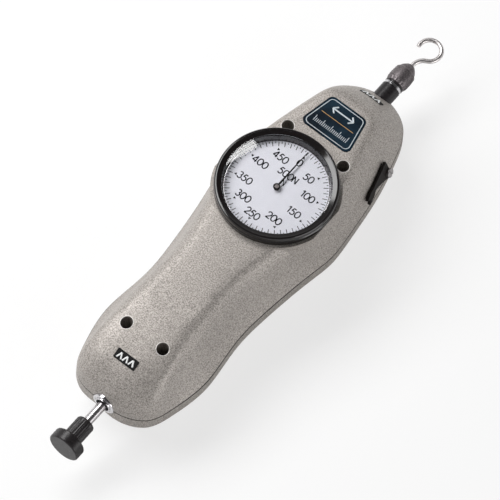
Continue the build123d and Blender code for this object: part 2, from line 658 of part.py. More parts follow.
def hook():
    """Return the bent wire hook: a straight stem, a side bend and the bowl."""
    start = SLEEVE_Y + 0.2
    bend_y = SLEEVE_Y + SLEEVE_LENGTH + 0.8
    side = 60.0
    bend = 1.18 * HOOK_RADIUS
    link = 0.19 * HOOK_RADIUS
    turn = radians(side)
    bent = Vector(bend * (1 - cos(turn)), bend_y + bend * sin(turn), SHAFT_Z)
    entry = bent + Vector(sin(turn), cos(turn)) * link
    centre = entry + Vector(-cos(turn), sin(turn)) * HOOK_RADIUS
    stem = Line((0, start, SHAFT_Z), (0, bend_y, SHAFT_Z))
    side_bend = TangentArc(stem @ 1, bent, tangent=(0, 1, 0))
    ramp = Line(bent, entry)

    def bowl_point(angle):
        """Return the point of the bowl's centre line at an angle from +X."""
        away = radians(angle)
        return centre + Vector(cos(away), sin(away)) * HOOK_RADIUS

    bowl = ThreePointArc(entry, bowl_point(60), bowl_point(195))
    path = Wire([stem, side_bend, ramp, bowl])
    return sweep(Plane(origin=stem @ 0, z_dir=(0, 1, 0)) * RegularPolygon(HOOK_WIRE, 12), path)


def measuring_spring():
    """Return the coil spring round the shaft, of eight-sided wire, with its ends ground flat."""
    pitch = (SPRING_LENGTH + SPRING_WIRE) / SPRING_TURNS
    start = SPRING_Y - SPRING_WIRE / 2
    climb = pitch / (2 * pi)
    sections = []
    for step in range(SPRING_TURNS * STEPS_PER_TURN + 1):
        angle = 2 * pi * step / STEPS_PER_TURN
        outward = Vector(cos(angle), 0, -sin(angle))
        along = Vector(-SPRING_MEAN_RADIUS * sin(angle), climb, -SPRING_MEAN_RADIUS * cos(angle))
        place = outward * SPRING_MEAN_RADIUS + Vector(0, start + climb * angle, SHAFT_Z)
        sections.append(Plane(origin=place, x_dir=outward, z_dir=along) * RegularPolygon(SPRING_WIRE / 2, 8))
    return loft(sections, ruled=True) & rod(SPRING_OUTER + 1, SPRING_Y, ANCHOR_Y)


def spring_seat():
    """Return the flanged seat that pushes the spring."""
    bore = SHAFT_RADIUS + SEATED
    inside = SPRING_MEAN_RADIUS - SPRING_WIRE / 2 - 0.2
    return turned([
        (bore, SEAT_Y), (SPRING_OUTER, SEAT_Y), (SPRING_OUTER, SPRING_Y), (inside, SPRING_Y),
        (inside - 0.4, SPRING_Y + 2.5), (bore, SPRING_Y + 2.5),
    ])


def spring_anchor():
    """Return the fixed anchor plate that the spring pushes against."""
    bore = SHAFT_RADIUS + RUNNING
    inside = SPRING_MEAN_RADIUS - SPRING_WIRE / 2 - 0.2
    spigot = SHAFT_RADIUS + 1.0 - SEATED
    return turned([
        (bore, ANCHOR_Y - 2.5), (inside - 0.4, ANCHOR_Y - 2.5), (inside, ANCHOR_Y), (SPRING_OUTER + 1, ANCHOR_Y),
        (SPRING_OUTER + 1, RIB_Y), (spigot, RIB_Y), (spigot, RIB_Y + WALL), (bore, RIB_Y + WALL),
    ])


def movement_plate(low):
    """Return one of the two movement plates with its screw and arbor holes."""
    outline = RectangleRounded(2 * (POST_X + POST_RADIUS), 2 * (POST_Y + POST_RADIUS), POST_RADIUS)
    plate = Pos(0, 0, low) * extrude(outline, PLATE_THICKNESS)
    for x, y in POST_PLACES:
        plate -= post(MOVEMENT_SCREW_RADIUS + RUNNING, 0, FAR, x, y)
    for x in (0, IDLER_X):
        plate -= post(ARBOR_RADIUS + RUNNING, 0, FAR, x)
    return plate


def movement_pillars():
    """Return the four hollow pillars between the movement plates."""
    bore = MOVEMENT_SCREW_RADIUS + RUNNING
    return [ring(PILLAR_RADIUS, bore, PLATE_TOP, BRIDGE_Z, x, y) for x, y in POST_PLACES]


def movement_screws():
    """Return the four screws that hold the movement to its posts."""
    radius = MOVEMENT_SCREW_RADIUS
    low, high = PLATE_Z - 6, BRIDGE_TOP + 1.3
    profile = [(0, low), (radius, low), (radius, BRIDGE_TOP), (1.9, BRIDGE_TOP), (1.9, high), (0, high)]
    return [spun(profile, x, y) for x, y in POST_PLACES]


def bezel():
    """Return the turning black bezel with its spigot and snap-ring groove."""
    foot = CROWN_Z - SPIGOT_DEPTH
    seat = CROWN_Z + 0.15
    groove = CROWN_Z - SNAP_DROP
    half = SNAP_WIRE / 2 + 0.02
    inner = SPIGOT_RADIUS - 0.6
    return spun([
        (SPIGOT_BORE, foot), (SPIGOT_RADIUS, foot), (SPIGOT_RADIUS, groove - half), (inner, groove - half),
        (inner, groove + half), (SPIGOT_RADIUS, groove + half), (SPIGOT_RADIUS, seat), (BEZEL_RADIUS, seat),
        (BEZEL_RADIUS, BEZEL_TOP - 1.5), (BEZEL_RADIUS - 0.5, BEZEL_TOP - 0.6), (BEZEL_RADIUS - 1.4, BEZEL_TOP - 0.1),
        (BEZEL_RADIUS - 2.0, BEZEL_TOP), (BEZEL_LIP_RADIUS, BEZEL_TOP - 0.6), (BEZEL_LIP_RADIUS, CRYSTAL_TOP),
        (SPIGOT_BORE, CRYSTAL_TOP),
    ])


def snap_ring():
    """Return the open wire ring that holds the bezel in the boss."""
    middle = CROWN_Z - SNAP_DROP
    inner = SPIGOT_RADIUS - 0.6 + SEATED
    wire = ring(GROOVE_RADIUS - 0.3, inner, middle - SNAP_WIRE / 2, middle + SNAP_WIRE / 2)
    return wire - block((-4, 4), (0, FAR), (0, FAR))


def needle():
    """Return the slim pointer with its ring hub."""
    length = SPACER_RADIUS - 1.4
    half_thickness = 0.2
    blade = make_face(Polyline((-0.42, 0.9), (0.42, 0.9), (0.13, length), (-0.13, length), close=True))
    pointer = extrude(blade, 2 * half_thickness)
    pointer += Cylinder(1.5, 2 * half_thickness, align=(Align.CENTER, Align.CENTER, Align.MIN))
    return Pos(0, 0, NEEDLE_Z - half_thickness) * pointer - post(ARBOR_RADIUS + SEATED, 0, FAR)


def gauge_nodes():
    """Return every node of the gauge by name."""
    form = front_form()
    lever = Lever(form)
    fit = SPIGOT_BORE - SEATED
    gear_phase = 0.0
    pinion_phase = 180.0 / CENTRE_PINION_TEETH
    print("lever pivot", [round(v, 5) for v in lever.plane.origin], "axis", [round(v, 5) for v in lever.normal],
          "bulge", round(lever.bulge, 3))
    print("centre distance", round(-IDLER_X, 4), "gear sum", MODULE * (IDLER_GEAR_TEETH + CENTRE_PINION_TEETH) / 2)
    return {
        "rear_cover": rear_cover(),
        "front_cover": front_cover(form, lever),
        "case_screws": case_screws(),
        "badge_plate": Pos(0, 0, CROWN_Z - BADGE_SINK) * extrude(badge_outline(), BADGE_THICKNESS),
        "push_label": skin_label(form, PUSH_LABEL_Y),
        "pull_label": skin_label(form, PULL_LABEL_Y),
        "push_bush": push_bush(),
        "pull_bush": pull_bush(),
        "spring_anchor": spring_anchor(),
        "guide_rod": guide_rod(),
        "movement_plate": movement_plate(PLATE_Z),
        "movement_bridge": movement_plate(BRIDGE_Z),
        "movement_pillars": movement_pillars(),
        "movement_screws": movement_screws(),
        "measuring_shaft": measuring_shaft(),
        "spring_seat": spring_seat(),
        "measuring_spring": measuring_spring(),
        "rack_carrier": rack_carrier(),
        "rack": rack(),
        "push_head": push_head(),
        "hook_chuck": hook_chuck(),
        "chuck_sleeve": chuck_sleeve(),
        "hook": hook(),
        "bezel": bezel(),
        "bezel_snap_ring": snap_ring(),
        "crystal": post(fit, CRYSTAL_LOW, CRYSTAL_TOP),
        "dial_ring": ring(fit, SPACER_RADIUS, DIAL_Z, CRYSTAL_LOW),
        "dial_plate": ring(fit, ARBOR_RADIUS + GAP, DIAL_Z - DIAL_PLATE_THICKNESS, DIAL_Z),
        "dial_carrier": ring(fit, DIAL_CARRIER_BORE, DIAL_Z - DIAL_PLATE_THICKNESS - DIAL_CARRIER_THICKNESS,
                             DIAL_Z - DIAL_PLATE_THICKNESS),
        "needle": needle(),
        "centre_arbor": post(ARBOR_RADIUS, PLATE_Z, NEEDLE_Z + 0.5),
        "centre_pinion": spur_gear(CENTRE_PINION_TEETH, GEAR_LOW - 0.5, GEAR_HIGH + 0.5, 0.0, pinion_phase),
        "idler_arbor": post(ARBOR_RADIUS, RACK_LOW - 0.4, BRIDGE_TOP, IDLER_X),
        "idler_pinion": spur_gear(IDLER_PINION_TEETH, RACK_LOW, RACK_HIGH, IDLER_X),
        "idler_gear": spur_gear(IDLER_GEAR_TEETH, GEAR_LOW, GEAR_HIGH, IDLER_X, gear_phase),
        "hold_lever": lever.plate(),
        "lever_screw": lever.screw(),
        "hold_cam": lever.cam(),
    }


def write(name, shape):
    """Write one node as a STEP file, as one compound where it has several solids."""
    solids = shape if isinstance(shape, list) else [shape]
    pieces = [solid for item in solids for solid in item.solids()]
    whole = pieces[0] if len(pieces) == 1 else Compound(children=pieces)
    export_step(whole, f"parts/{name}.step")


def main():
    """Build every node and write it to the parts folder."""
    os.makedirs("parts", exist_ok=True)
    for name, shape in gauge_nodes().items():
        write(name, shape)


if __name__ == "__main__":
    main()
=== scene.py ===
import json
import logging
from collections.abc import Callable, Iterable, Iterator, Sequence
from contextlib import contextmanager
from dataclasses import dataclass, field
from enum import Enum
from functools import cache
from math import atan2, cos, degrees, pi, radians, sin, sqrt, tau

import bmesh
import bpy
from mathutils import Matrix, Vector
from mathutils.bvhtree import BVHTree

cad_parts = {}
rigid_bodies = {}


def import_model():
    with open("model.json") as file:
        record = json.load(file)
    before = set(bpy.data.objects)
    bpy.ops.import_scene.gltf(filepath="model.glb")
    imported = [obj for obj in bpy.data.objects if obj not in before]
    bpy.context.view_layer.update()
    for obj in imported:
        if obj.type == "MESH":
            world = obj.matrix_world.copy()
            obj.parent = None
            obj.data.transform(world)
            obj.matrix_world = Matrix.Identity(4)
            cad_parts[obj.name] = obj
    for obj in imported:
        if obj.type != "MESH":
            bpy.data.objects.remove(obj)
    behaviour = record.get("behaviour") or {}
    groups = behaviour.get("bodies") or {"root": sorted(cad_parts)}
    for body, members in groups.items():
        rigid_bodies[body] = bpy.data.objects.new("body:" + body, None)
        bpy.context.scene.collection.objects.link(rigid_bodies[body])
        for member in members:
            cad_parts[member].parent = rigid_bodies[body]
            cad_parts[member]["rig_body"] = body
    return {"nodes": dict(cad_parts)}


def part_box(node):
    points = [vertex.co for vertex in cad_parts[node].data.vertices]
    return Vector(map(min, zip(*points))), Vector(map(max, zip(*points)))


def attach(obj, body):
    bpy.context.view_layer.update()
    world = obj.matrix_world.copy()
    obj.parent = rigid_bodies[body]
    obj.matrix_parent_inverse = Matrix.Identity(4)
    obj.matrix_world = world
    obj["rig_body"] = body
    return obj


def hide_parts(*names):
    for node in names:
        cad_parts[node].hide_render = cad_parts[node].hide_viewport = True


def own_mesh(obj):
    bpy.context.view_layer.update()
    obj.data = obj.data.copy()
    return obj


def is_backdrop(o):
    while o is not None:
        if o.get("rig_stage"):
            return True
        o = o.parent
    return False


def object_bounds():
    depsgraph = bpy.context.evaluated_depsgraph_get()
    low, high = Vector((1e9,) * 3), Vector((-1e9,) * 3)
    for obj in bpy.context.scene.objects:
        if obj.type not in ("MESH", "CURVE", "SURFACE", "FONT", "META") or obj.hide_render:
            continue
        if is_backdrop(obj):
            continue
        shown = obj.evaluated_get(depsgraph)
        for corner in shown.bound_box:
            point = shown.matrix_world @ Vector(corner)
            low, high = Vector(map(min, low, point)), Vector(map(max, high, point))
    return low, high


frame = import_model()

log = logging.getLogger("force_gauge")

MM = 0.001
PRINT_SINK = 0.6  # share of a printed line's radius that lies in the surface
SHARP_TURN = radians(50)  # a drawn line that turns further is split there
MERGE_REACH = 2e-6  # vertices of a CAD mesh this close are one
FLAT_ANGLE = 2.0  # degrees up to which neighbouring CAD faces are made one before a bevel
TURNED_STEPS = 160
ROW_PLAY = 0.01  # how far off its row a knurl's vertex may lie, in rows

# Degrees up to which each kind of edge is shaded smooth.
PRINT_ANGLE = 60.0
ROD_ANGLE = 50.0
RING_ANGLE = 40.0
CASE_ANGLE = 32.0
PLAIN_ANGLE = 30.0
COLLAR_ANGLE = 28.0
KNURL_ANGLE = 14.0

Point = tuple[float, float]
Place = tuple[float, float, float]
Colour = tuple[float, float, float]
Piece = bpy.types.Object
Material = bpy.types.Material
Socket = bpy.types.NodeSocket


# --- Modelling tools ---------------------------------------------------------------------------

def pick_only(piece: Piece) -> None:
    """Select one object alone and make it active."""
    bpy.ops.object.select_all(action="DESELECT")
    piece.select_set(True)
    bpy.context.view_layer.objects.active = piece


@contextmanager
def editing(piece: Piece) -> Iterator[None]:
    """Hold one object in edit mode, with everything in it selected."""
    pick_only(piece)
    bpy.ops.object.mode_set(mode="EDIT")
    bpy.ops.mesh.select_all(action="SELECT")
    yield
    bpy.ops.object.mode_set(mode="OBJECT")


def pick_vertices(piece: Piece, wanted: Callable[[Vector], bool]) -> None:
    """Select the vertices of a piece in edit mode whose place passes a test.

    Args:
        piece: The object in edit mode.
        wanted: The test on a vertex's place.
    """
    bpy.ops.mesh.select_mode(type="VERT")
    work = bmesh.from_edit_mesh(piece.data)
    for vertex in work.verts:
        vertex.select_set(wanted(vertex.co))
    work.select_flush_mode()
    bmesh.update_edit_mesh(piece.data)


def close_up() -> None:
    """Merge doubled vertices of what is in edit mode and point its faces outwards."""
    bpy.ops.mesh.select_all(action="SELECT")
    bpy.ops.mesh.remove_doubles(threshold=1e-7)
    bpy.ops.mesh.normals_make_consistent(inside=False)


def start_piece(name: str) -> Piece:
    """Name the object that an operator has just made and return it."""
    piece = bpy.context.active_object
    piece.name = name
    piece.data.name = name
    return piece


def settle(piece: Piece) -> None:
    """Move a piece's place, turn and scale into its mesh."""
    pick_only(piece)
    bpy.ops.object.transform_apply(location=True, rotation=True, scale=True)


def smooth(piece: Piece, angle: float = PLAIN_ANGLE) -> None:
    """Shade a piece smooth, apart from edges sharper than an angle in degrees."""
    pick_only(piece)
    bpy.ops.object.shade_smooth_by_angle(angle=radians(angle))


def round_edges(piece: Piece, width: float, segments: int = 2, angle: float = 35.0) -> None:
    """Bevel the sharp edges of a piece by a width in metres."""
    pick_only(piece)
    bevel = piece.modifiers.new("round edges", "BEVEL")
    bevel.width = width
    bevel.segments = segments
    bevel.limit_method = "ANGLE"
    bevel.angle_limit = radians(angle)
    bevel.harden_normals = True
    bpy.ops.object.modifier_apply(modifier=bevel.name)


class Axis(Enum):
    """The axes that pieces are turned about."""

    SHAFT = (0, 1, 0)
    UPRIGHT = (0, 0, 1)


def section(corners: Iterable[Point], radius: float = 0.0, height: float = 0.0) -> list[Point]:
    """Return corners given in millimetres as corners in metres, moved by a radius and a height in metres."""
    return [(radius + out * MM, height + up * MM) for out, up in corners]


def even_rings(radius: float, start: float, end: float, rows: int) -> list[Point]:
    """Return a straight stretch of profile in even rings."""
    return [(radius, start + (end - start) * row / rows) for row in range(rows + 1)]


def turned(
    name: str, profile: Sequence[Point], steps: int, axis: Axis = Axis.UPRIGHT, centre: Place = (0, 0, 0)
) -> Piece:
    """Turn a profile about an axis, as on a lathe.

    Args:
        name: The piece's name.
        profile: Radius and height of each corner in metres, the height along the axis from the world's
            origin. A profile that doesn't start on the axis runs back to its start.
        steps: How many sides the turned piece has.
        axis: The axis.
        centre: A place on the axis.
    Returns:
        The closed, turned piece.
    """
    corners = [
        Vector((centre[0] + out, up, centre[2]) if axis is Axis.SHAFT else (centre[0] + out, centre[1], up))
        for out, up in profile]
    if profile[0][0]:
        corners.append(corners[0])
    bpy.ops.object.select_all(action="DESELECT")
    bpy.ops.mesh.primitive_plane_add(size=MM, location=(0, 0, 0))
    piece = start_piece(name)
    with editing(piece):
        bpy.ops.mesh.merge(type="CENTER")
        bpy.ops.transform.translate(value=corners[0])
        for here, there in zip(corners, corners[1:]):
            bpy.ops.mesh.extrude_vertices_move(TRANSFORM_OT_translate={"value": there - here})
        bpy.ops.mesh.select_all(action="SELECT")
        bpy.ops.mesh.spin(steps=steps, angle=tau, center=centre, axis=axis.value)
        close_up()
    return piece


def ringed(piece: Piece, count: int) -> None:
    """Copy what a piece holds round the upright axis, evenly."""
    with editing(piece):
        bpy.ops.mesh.spin(
            steps=count - 1, dupli=True, angle=tau * (count - 1) / count, center=(0, 0, 0), axis=(0, 0, 1))
        bpy.ops.mesh.select_all(action="SELECT")
        bpy.ops.mesh.normals_make_consistent(inside=False)


@dataclass(frozen=True)
class Knurl:
    """A knurl pressed into a turned piece: where it lies along the shaft, its rings and its depth."""

    low: float
    high: float
    rows: int
    steps: int
    depth: float
    straight: bool = False

    def press(self, piece: Piece, centre: Place) -> None:
        """Press every second vertex of the knurl's rings in.

        Args:
            piece: A piece turned about the shaft axis, with even rings between low and high.
            centre: A place on the shaft axis.
        """
        pitch = (self.high - self.low) / self.rows

        def row_of(place: Vector) -> float:
            """Return which ring a vertex lies on, with a fraction where it lies on none."""
            return (place.y - self.low) / pitch

        def pressed(place: Vector) -> bool:
            """Tell whether a vertex is a valley of the knurl."""
            row = row_of(place)
            if not -ROW_PLAY < row < self.rows + ROW_PLAY or abs(row - round(row)) > 2 * ROW_PLAY:
                return False
            turn = atan2(place.z - centre[2], place.x - centre[0]) % tau
            ring = 0 if self.straight else round(row)
            return (ring + round(turn * self.steps / tau)) % 2 == 1

        reach = [
            sqrt((v.co.x - centre[0]) ** 2 + (v.co.z - centre[2]) ** 2)
            for v in piece.data.vertices if -ROW_PLAY < row_of(v.co) < self.rows + ROW_PLAY]
        share = 1 - self.depth / max(reach)
        with editing(piece):
            pick_vertices(piece, pressed)
            bpy.ops.transform.resize(value=(share, 1, share), center_override=centre)


def straight_runs(line: Sequence[Place]) -> list[Sequence[Place]]:
    """Split a line where it turns sharply, so each stroke keeps its full width at its ends.

    Args:
        line: The places along the middle of the line.
    Returns:
        The runs between its sharp corners, each with both its end places.
    """
    runs, start = [], 0
    for index in range(1, len(line) - 1):
        before = Vector(line[index]) - Vector(line[index - 1])
        after = Vector(line[index + 1]) - Vector(line[index])
        if before.length and after.length and before.angle(after) > SHARP_TURN:
            runs.append(line[start : index + 1])
            start = index
    return [*runs, line[start:]]


def drawn(name: str, lines: Iterable[Sequence[Place]], width: float, closed: bool = False) -> Piece:
    """Draw lines as one thin raised print.

    Args:
        name: The print's name.
        lines: The places along the middle of each line, on the surface that carries it.
        width: The width that shows, in metres.
        closed: Whether each line runs back to its start.
    Returns:
        The print as a mesh, mostly sunk in the surface.
    """
    radius = width / (2 * sqrt(1 - PRINT_SINK**2))
    curve = bpy.data.curves.new(name, "CURVE")
    curve.dimensions = "3D"
    curve.bevel_depth = radius
    curve.bevel_resolution = 2
    curve.use_fill_caps = True
    for line in lines if closed else (run for line in lines for run in straight_runs(line)):
        spline = curve.splines.new("POLY")
        spline.points.add(len(line) - 1)
        spline.use_cyclic_u = closed
        for spot, (x, y, z) in zip(spline.points, line):
            spot.co = (x, y, z - PRINT_SINK * radius, 1)
    piece = bpy.data.objects.new(name, curve)
    bpy.context.scene.collection.objects.link(piece)
    pick_only(piece)
    bpy.ops.object.convert(target="MESH")
    piece = start_piece(name)
    with editing(piece):
        close_up()
    return piece


def axis_of(node: str) -> Place:
    """Return the place of the shaft axis, which a CAD node is round."""
    low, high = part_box(node)
    return (0.0, 0.0, (low[2] + high[2]) / 2)


@cache
def skin_of(node: str) -> BVHTree:
    """Return a CAD node's surface, ready for rays."""
    mesh = frame["nodes"][node].data
    return BVHTree.FromPolygons([v.co for v in mesh.vertices], [p.vertices for p in mesh.polygons])


def height_on(node: str, x: float, y: float) -> float:
    """Return the height of a CAD node's upper surface over a place, in metres."""
    place = skin_of(node).ray_cast((x, y, 1.0), (0, 0, -1))[0]
    if place is None:
        raise ValueError(f"nothing of {node} lies over {x:.4f}, {y:.4f}")
    return place.z


# --- Shader effects ----------------------------------------------------------------------------

class Pattern(Enum):
    """The shared surface effects, each a shader node group."""

    GRAIN = "sandy grain"
    MOTTLE = "colour mottle"
    LATHE = "lathe marks"


class Wiring:
    """A node tree in the making: adds nodes with their values and links."""

    def __init__(self, tree: bpy.types.NodeTree) -> None:
        """Take the tree to work on."""
        self.tree = tree

    def feed(self, node: bpy.types.Node, inputs: dict) -> None:
        """Set each input of a node to a value, or link it to an output.

        Args:
            node: The node.
            inputs: The value or the output for each input, by its name or number.
        """
        for name, value in inputs.items():
            if isinstance(value, Socket):
                self.tree.links.new(value, node.inputs[name])
            else:
                node.inputs[name].default_value = value

    def add(self, kind: str, inputs: dict | None = None, **settings: object) -> bpy.types.Node:
        """Add a node.

        Args:
            kind: The node's type, without ShaderNode.
            inputs: The value or the output for each input, by its name or number.
            settings: The node's own settings, such as its operation.
        Returns:
            The node.
        """
        node = self.tree.nodes.new(f"ShaderNode{kind}")
        for name, value in settings.items():
            setattr(node, name, value)
        self.feed(node, inputs or {})
        return node

    def math(self, operation: str, *operands: float | Socket, clamp: bool = False) -> Socket:
        """Add a sum on values and outputs and return its output."""
        return self.add("Math", dict(enumerate(operands)), operation=operation, use_clamp=clamp).outputs[0]

    def graded(self, value: Socket, start: Point, end: Point) -> Socket:
        """Return a value that runs between the ends of one range, mapped to run between those of another."""
        limits = {"From Min": start[0], "From Max": start[1], "To Min": end[0], "To Max": end[1]}
        return self.add("MapRange", {**limits, "Value": value}).outputs["Result"]

    def toned(self, share: Socket, first: Socket, second: Socket | tuple) -> Socket:
        """Return the mix of two colours by a share."""
        return self.add("Mix", {"Factor": share, "A": first, "B": second}, data_type="RGBA").outputs["Result"]

    def mixed(self, share: Socket, first: Socket, second: Socket) -> Socket:
        """Return the mix of two shaders by a share."""
        return self.add("MixShader", {"Fac": share, 1: first, 2: second}).outputs[0]

    def show(self, shader: Socket) -> None:
        """Make a shader what the material's surface shows."""
        self.feed(self.tree.nodes["Material Output"], {"Surface": shader})


class Effects:
    """Builds the shared node groups once and hands them out."""

    SCALED = {"Vector": "Vector", "Scale": "Float"}  # the inputs that every effect has
    GRAIN_NOISE = {"Detail": 5, "Roughness": 0.68}
    CLOUD_NOISE = {"Detail": 6, "Roughness": 0.62}
    LATHE_NOISE = {"Detail": 4}
    SPECK_SCALE = 1.7  # specks are this much finer than the grain
    SPECK_EDGE = (0.15, 0.55)
    SPECK_SHARE = 0.45
    LATHE_STRETCH = (0.02, 1.0, 0.02)

    def __init__(self) -> None:
        """Build every group."""
        self.groups = {
            Pattern.GRAIN: self.grain(),
            Pattern.MOTTLE: self.mottle(),
            Pattern.LATHE: self.lathe(),
        }

    @staticmethod
    def fresh(pattern: Pattern, inputs: dict[str, str], output: str, kind: str) -> tuple:
        """Start a group.

        Args:
            pattern: The effect.
            inputs: The socket type by the name of each input.
            output: The name of the output.
            kind: The socket type of the output.
        Returns:
            The group's wiring, its inputs and its output node.
        """
        group = bpy.data.node_groups.new(pattern.value, "ShaderNodeTree")
        for name, input_kind in inputs.items():
            group.interface.new_socket(name=name, in_out="INPUT", socket_type=f"NodeSocket{input_kind}")
        group.interface.new_socket(name=output, in_out="OUTPUT", socket_type=f"NodeSocket{kind}")
        start, end = group.nodes.new("NodeGroupInput"), group.nodes.new("NodeGroupOutput")
        return Wiring(group), start.outputs, end

    def grain(self) -> bpy.types.NodeTree:
        """Return the group of fine sandy grain: noise with specks of a finer scale on it."""
        wiring, start, end = self.fresh(Pattern.GRAIN, self.SCALED, "Height", "Float")
        coarse = wiring.add(
            "TexNoise", {**self.GRAIN_NOISE, "Vector": start["Vector"], "Scale": start["Scale"]})
        finer = wiring.math("MULTIPLY", start["Scale"], self.SPECK_SCALE)
        specks = wiring.add("TexVoronoi", {"Randomness": 1.0, "Vector": start["Vector"], "Scale": finer})
        ramp = wiring.graded(specks.outputs["Distance"], self.SPECK_EDGE, (0.0, 1.0))
        height = wiring.math("MULTIPLY_ADD", ramp, self.SPECK_SHARE, coarse.outputs["Fac"])
        wiring.feed(end, {"Height": height})
        return wiring.tree

    def mottle(self) -> bpy.types.NodeTree:
        """Return the group that varies a colour between two tones, softly and in specks."""
        wiring, start, end = self.fresh(
            Pattern.MOTTLE, {**self.SCALED, "Light": "Color", "Dark": "Color", "Contrast": "Float"},
            "Color", "Color")
        cloud = wiring.add(
            "TexNoise", {**self.CLOUD_NOISE, "Vector": start["Vector"], "Scale": start["Scale"]})
        centred = wiring.math("SUBTRACT", cloud.outputs["Fac"], 0.5)
        spread = wiring.math("MULTIPLY", centred, start["Contrast"])
        share = wiring.math("ADD", spread, 0.5, clamp=True)
        wiring.feed(end, {"Color": wiring.toned(share, start["Dark"], start["Light"])})
        return wiring.tree

    def lathe(self) -> bpy.types.NodeTree:
        """Return the group of fine turning marks round the shaft axis: noise drawn out across the axis."""
        wiring, start, end = self.fresh(Pattern.LATHE, self.SCALED, "Height", "Float")
        inputs = {0: start["Vector"], 1: self.LATHE_STRETCH}
        stretched = wiring.add("VectorMath", inputs, operation="MULTIPLY").outputs["Vector"]
        marks = wiring.add("TexNoise", {**self.LATHE_NOISE, "Vector": stretched, "Scale": start["Scale"]})
        wiring.feed(end, {"Height": marks.outputs["Fac"]})
        return wiring.tree

    def place(self, wiring: Wiring, pattern: Pattern, **values: float | tuple) -> Socket:
        """Put a group in a material, fed by object coordinates.

        Args:
            wiring: The material's wiring.
            pattern: Which effect.
            values: The value of each input.
        Returns:
            The group's output.
        """
        where = wiring.tree.nodes.get("Where") or wiring.add("TexCoord")
        where.name = "Where"
        node = wiring.add("Group", node_tree=self.groups[pattern])
        wiring.feed(node, {"Vector": where.outputs["Object"], **values})
        return node.outputs[0]


# --- Finishes ----------------------------------------------------------------------------------

def start_material(name: str) -> tuple[Material, Wiring, bpy.types.Node]:
    """Return a new material with its wiring and its Principled shader."""
    material = bpy.data.materials.new(name)
    material.use_nodes = True
    return material, Wiring(material.node_tree), material.node_tree.nodes["Principled BSDF"]


@dataclass(frozen=True)
class Finish:
    """A surface finish: its two tones, its sheen and its fine relief.

    Scales are per metre of the object, so 3000 gives marks of about a third of a millimetre. The relief's
    depth is in millimetres.
    """

    name: str
    light: Colour
    dark: Colour
    metallic: float = 0.0
    roughness: tuple[float, float] = (0.4, 0.5)
    mottle_scale: float = 600.0
    contrast: float = 2.0
    relief: Pattern = Pattern.GRAIN
    relief_scale: float = 3000.0
    relief_depth: float = 0.02
    relief_strength: float = 0.3
    specular: float = 0.5

    def build(self, effects: Effects) -> Material:
        """Return the finish as a material with procedural nodes."""
        material, wiring, shader = start_material(self.name)
        tones = effects.place(
            wiring, Pattern.MOTTLE, Scale=self.mottle_scale, Contrast=self.contrast,
            Light=(*self.light, 1), Dark=(*self.dark, 1))
        relief = effects.place(wiring, self.relief, Scale=self.relief_scale)
        bump = wiring.add(
            "Bump", {"Strength": self.relief_strength, "Distance": self.relief_depth * MM, "Height": relief})
        wiring.feed(shader, {
            "Base Color": tones, "Metallic": self.metallic, "Specular IOR Level": self.specular,
            "Roughness": wiring.graded(relief, (0.0, 1.0), self.roughness), "Normal": bump.outputs["Normal"]})
        return material


@dataclass(frozen=True)
class Glass:
    """The clear crystal, which lets the lamps through to the dial."""

    name: str = "crystal glass"
    ior: float = 1.49
    roughness: float = 0.0

    def build(self, _effects: Effects) -> Material:
        """Return the glass as a material."""
        material, wiring, shader = start_material(self.name)
        wiring.feed(shader, {
            "Base Color": (1, 1, 1, 1), "Transmission Weight": 1.0, "Roughness": self.roughness,
            "IOR": self.ior})
        path = wiring.add("LightPath").outputs
        passed = wiring.math("MAXIMUM", path["Is Shadow Ray"], path["Is Diffuse Ray"])
        wiring.show(wiring.mixed(passed, shader.outputs[0], wiring.add("BsdfTransparent").outputs[0]))
        return material


@dataclass(frozen=True)
class CastPaint(Finish):
    """The sandy metallic paint of the castings, with shade painted as a dark line along the seam where the
    two halves meet.
    """

    seam_height: float = 21.0 * MM
    seam_half: float = 0.26 * MM
    seam_fade: float = 0.416 * MM  # half the seam's width where it has faded out
    # the colour of the shade painted along the seam
    seam_shade_colour: Colour = (0.03, 0.028, 0.026)

    def build(self, effects: Effects) -> Material:
        """Return the paint as a material, with the seam's painted shade."""
        material = super().build(effects)
        wiring, nodes = Wiring(material.node_tree), material.node_tree.nodes
        shader = nodes["Principled BSDF"]
        # Painted shade: the colour darkens towards the seam's shade colour near the seam's height.
        height = wiring.add("SeparateXYZ", {0: nodes["Where"].outputs["Object"]}).outputs["Z"]
        away = wiring.math("ABSOLUTE", wiring.math("SUBTRACT", height, self.seam_height))
        near = wiring.graded(away, (self.seam_half, self.seam_fade), (1.0, 0.0))
        tones = shader.inputs["Base Color"].links[0].from_socket
        wiring.feed(shader, {"Base Color": wiring.toned(near, tones, (*self.seam_shade_colour, 1))})
        return material


CASE_PAINT = CastPaint(
    "case paint", light=(0.56, 0.518, 0.482), dark=(0.19, 0.174, 0.160), metallic=0.5, roughness=(0.42, 0.58),
    mottle_scale=1900, contrast=3.6, relief_scale=2100, relief_depth=0.05, relief_strength=0.6)
BLACK_GLOSS = Finish(
    "black gloss enamel", light=(0.009, 0.007, 0.007), dark=(0.004, 0.003, 0.003), roughness=(0.05, 0.12),
    relief_scale=1500, relief_depth=0.003, relief_strength=0.08, specular=0.6)
RING_GLOSS = Finish(
    "inner ring gloss", light=(0.012, 0.011, 0.012), dark=(0.006, 0.005, 0.006), roughness=(0.03, 0.06),
    relief_scale=1500, relief_depth=0.002, relief_strength=0.05, specular=1.0)
ARBOR_STEEL = Finish(
    "arbor steel", light=(0.17, 0.15, 0.15), dark=(0.10, 0.09, 0.09), metallic=0.6, roughness=(0.5, 0.62),
    relief_depth=0.004, relief_strength=0.2, specular=0.3)
BLACK_STEEL = Finish(
    "blackened steel", light=(0.030, 0.026, 0.027), dark=(0.006, 0.005, 0.006), metallic=0.2,
    roughness=(0.2, 0.34), mottle_scale=1400, contrast=2.4, relief_scale=2200, specular=0.4)
GREY_STEEL = Finish(
    "dark grey steel", light=(0.22, 0.195, 0.20), dark=(0.07, 0.062, 0.066), metallic=0.7,
    roughness=(0.28, 0.48), mottle_scale=1600, contrast=3.0, relief_scale=2600, relief_strength=0.35)
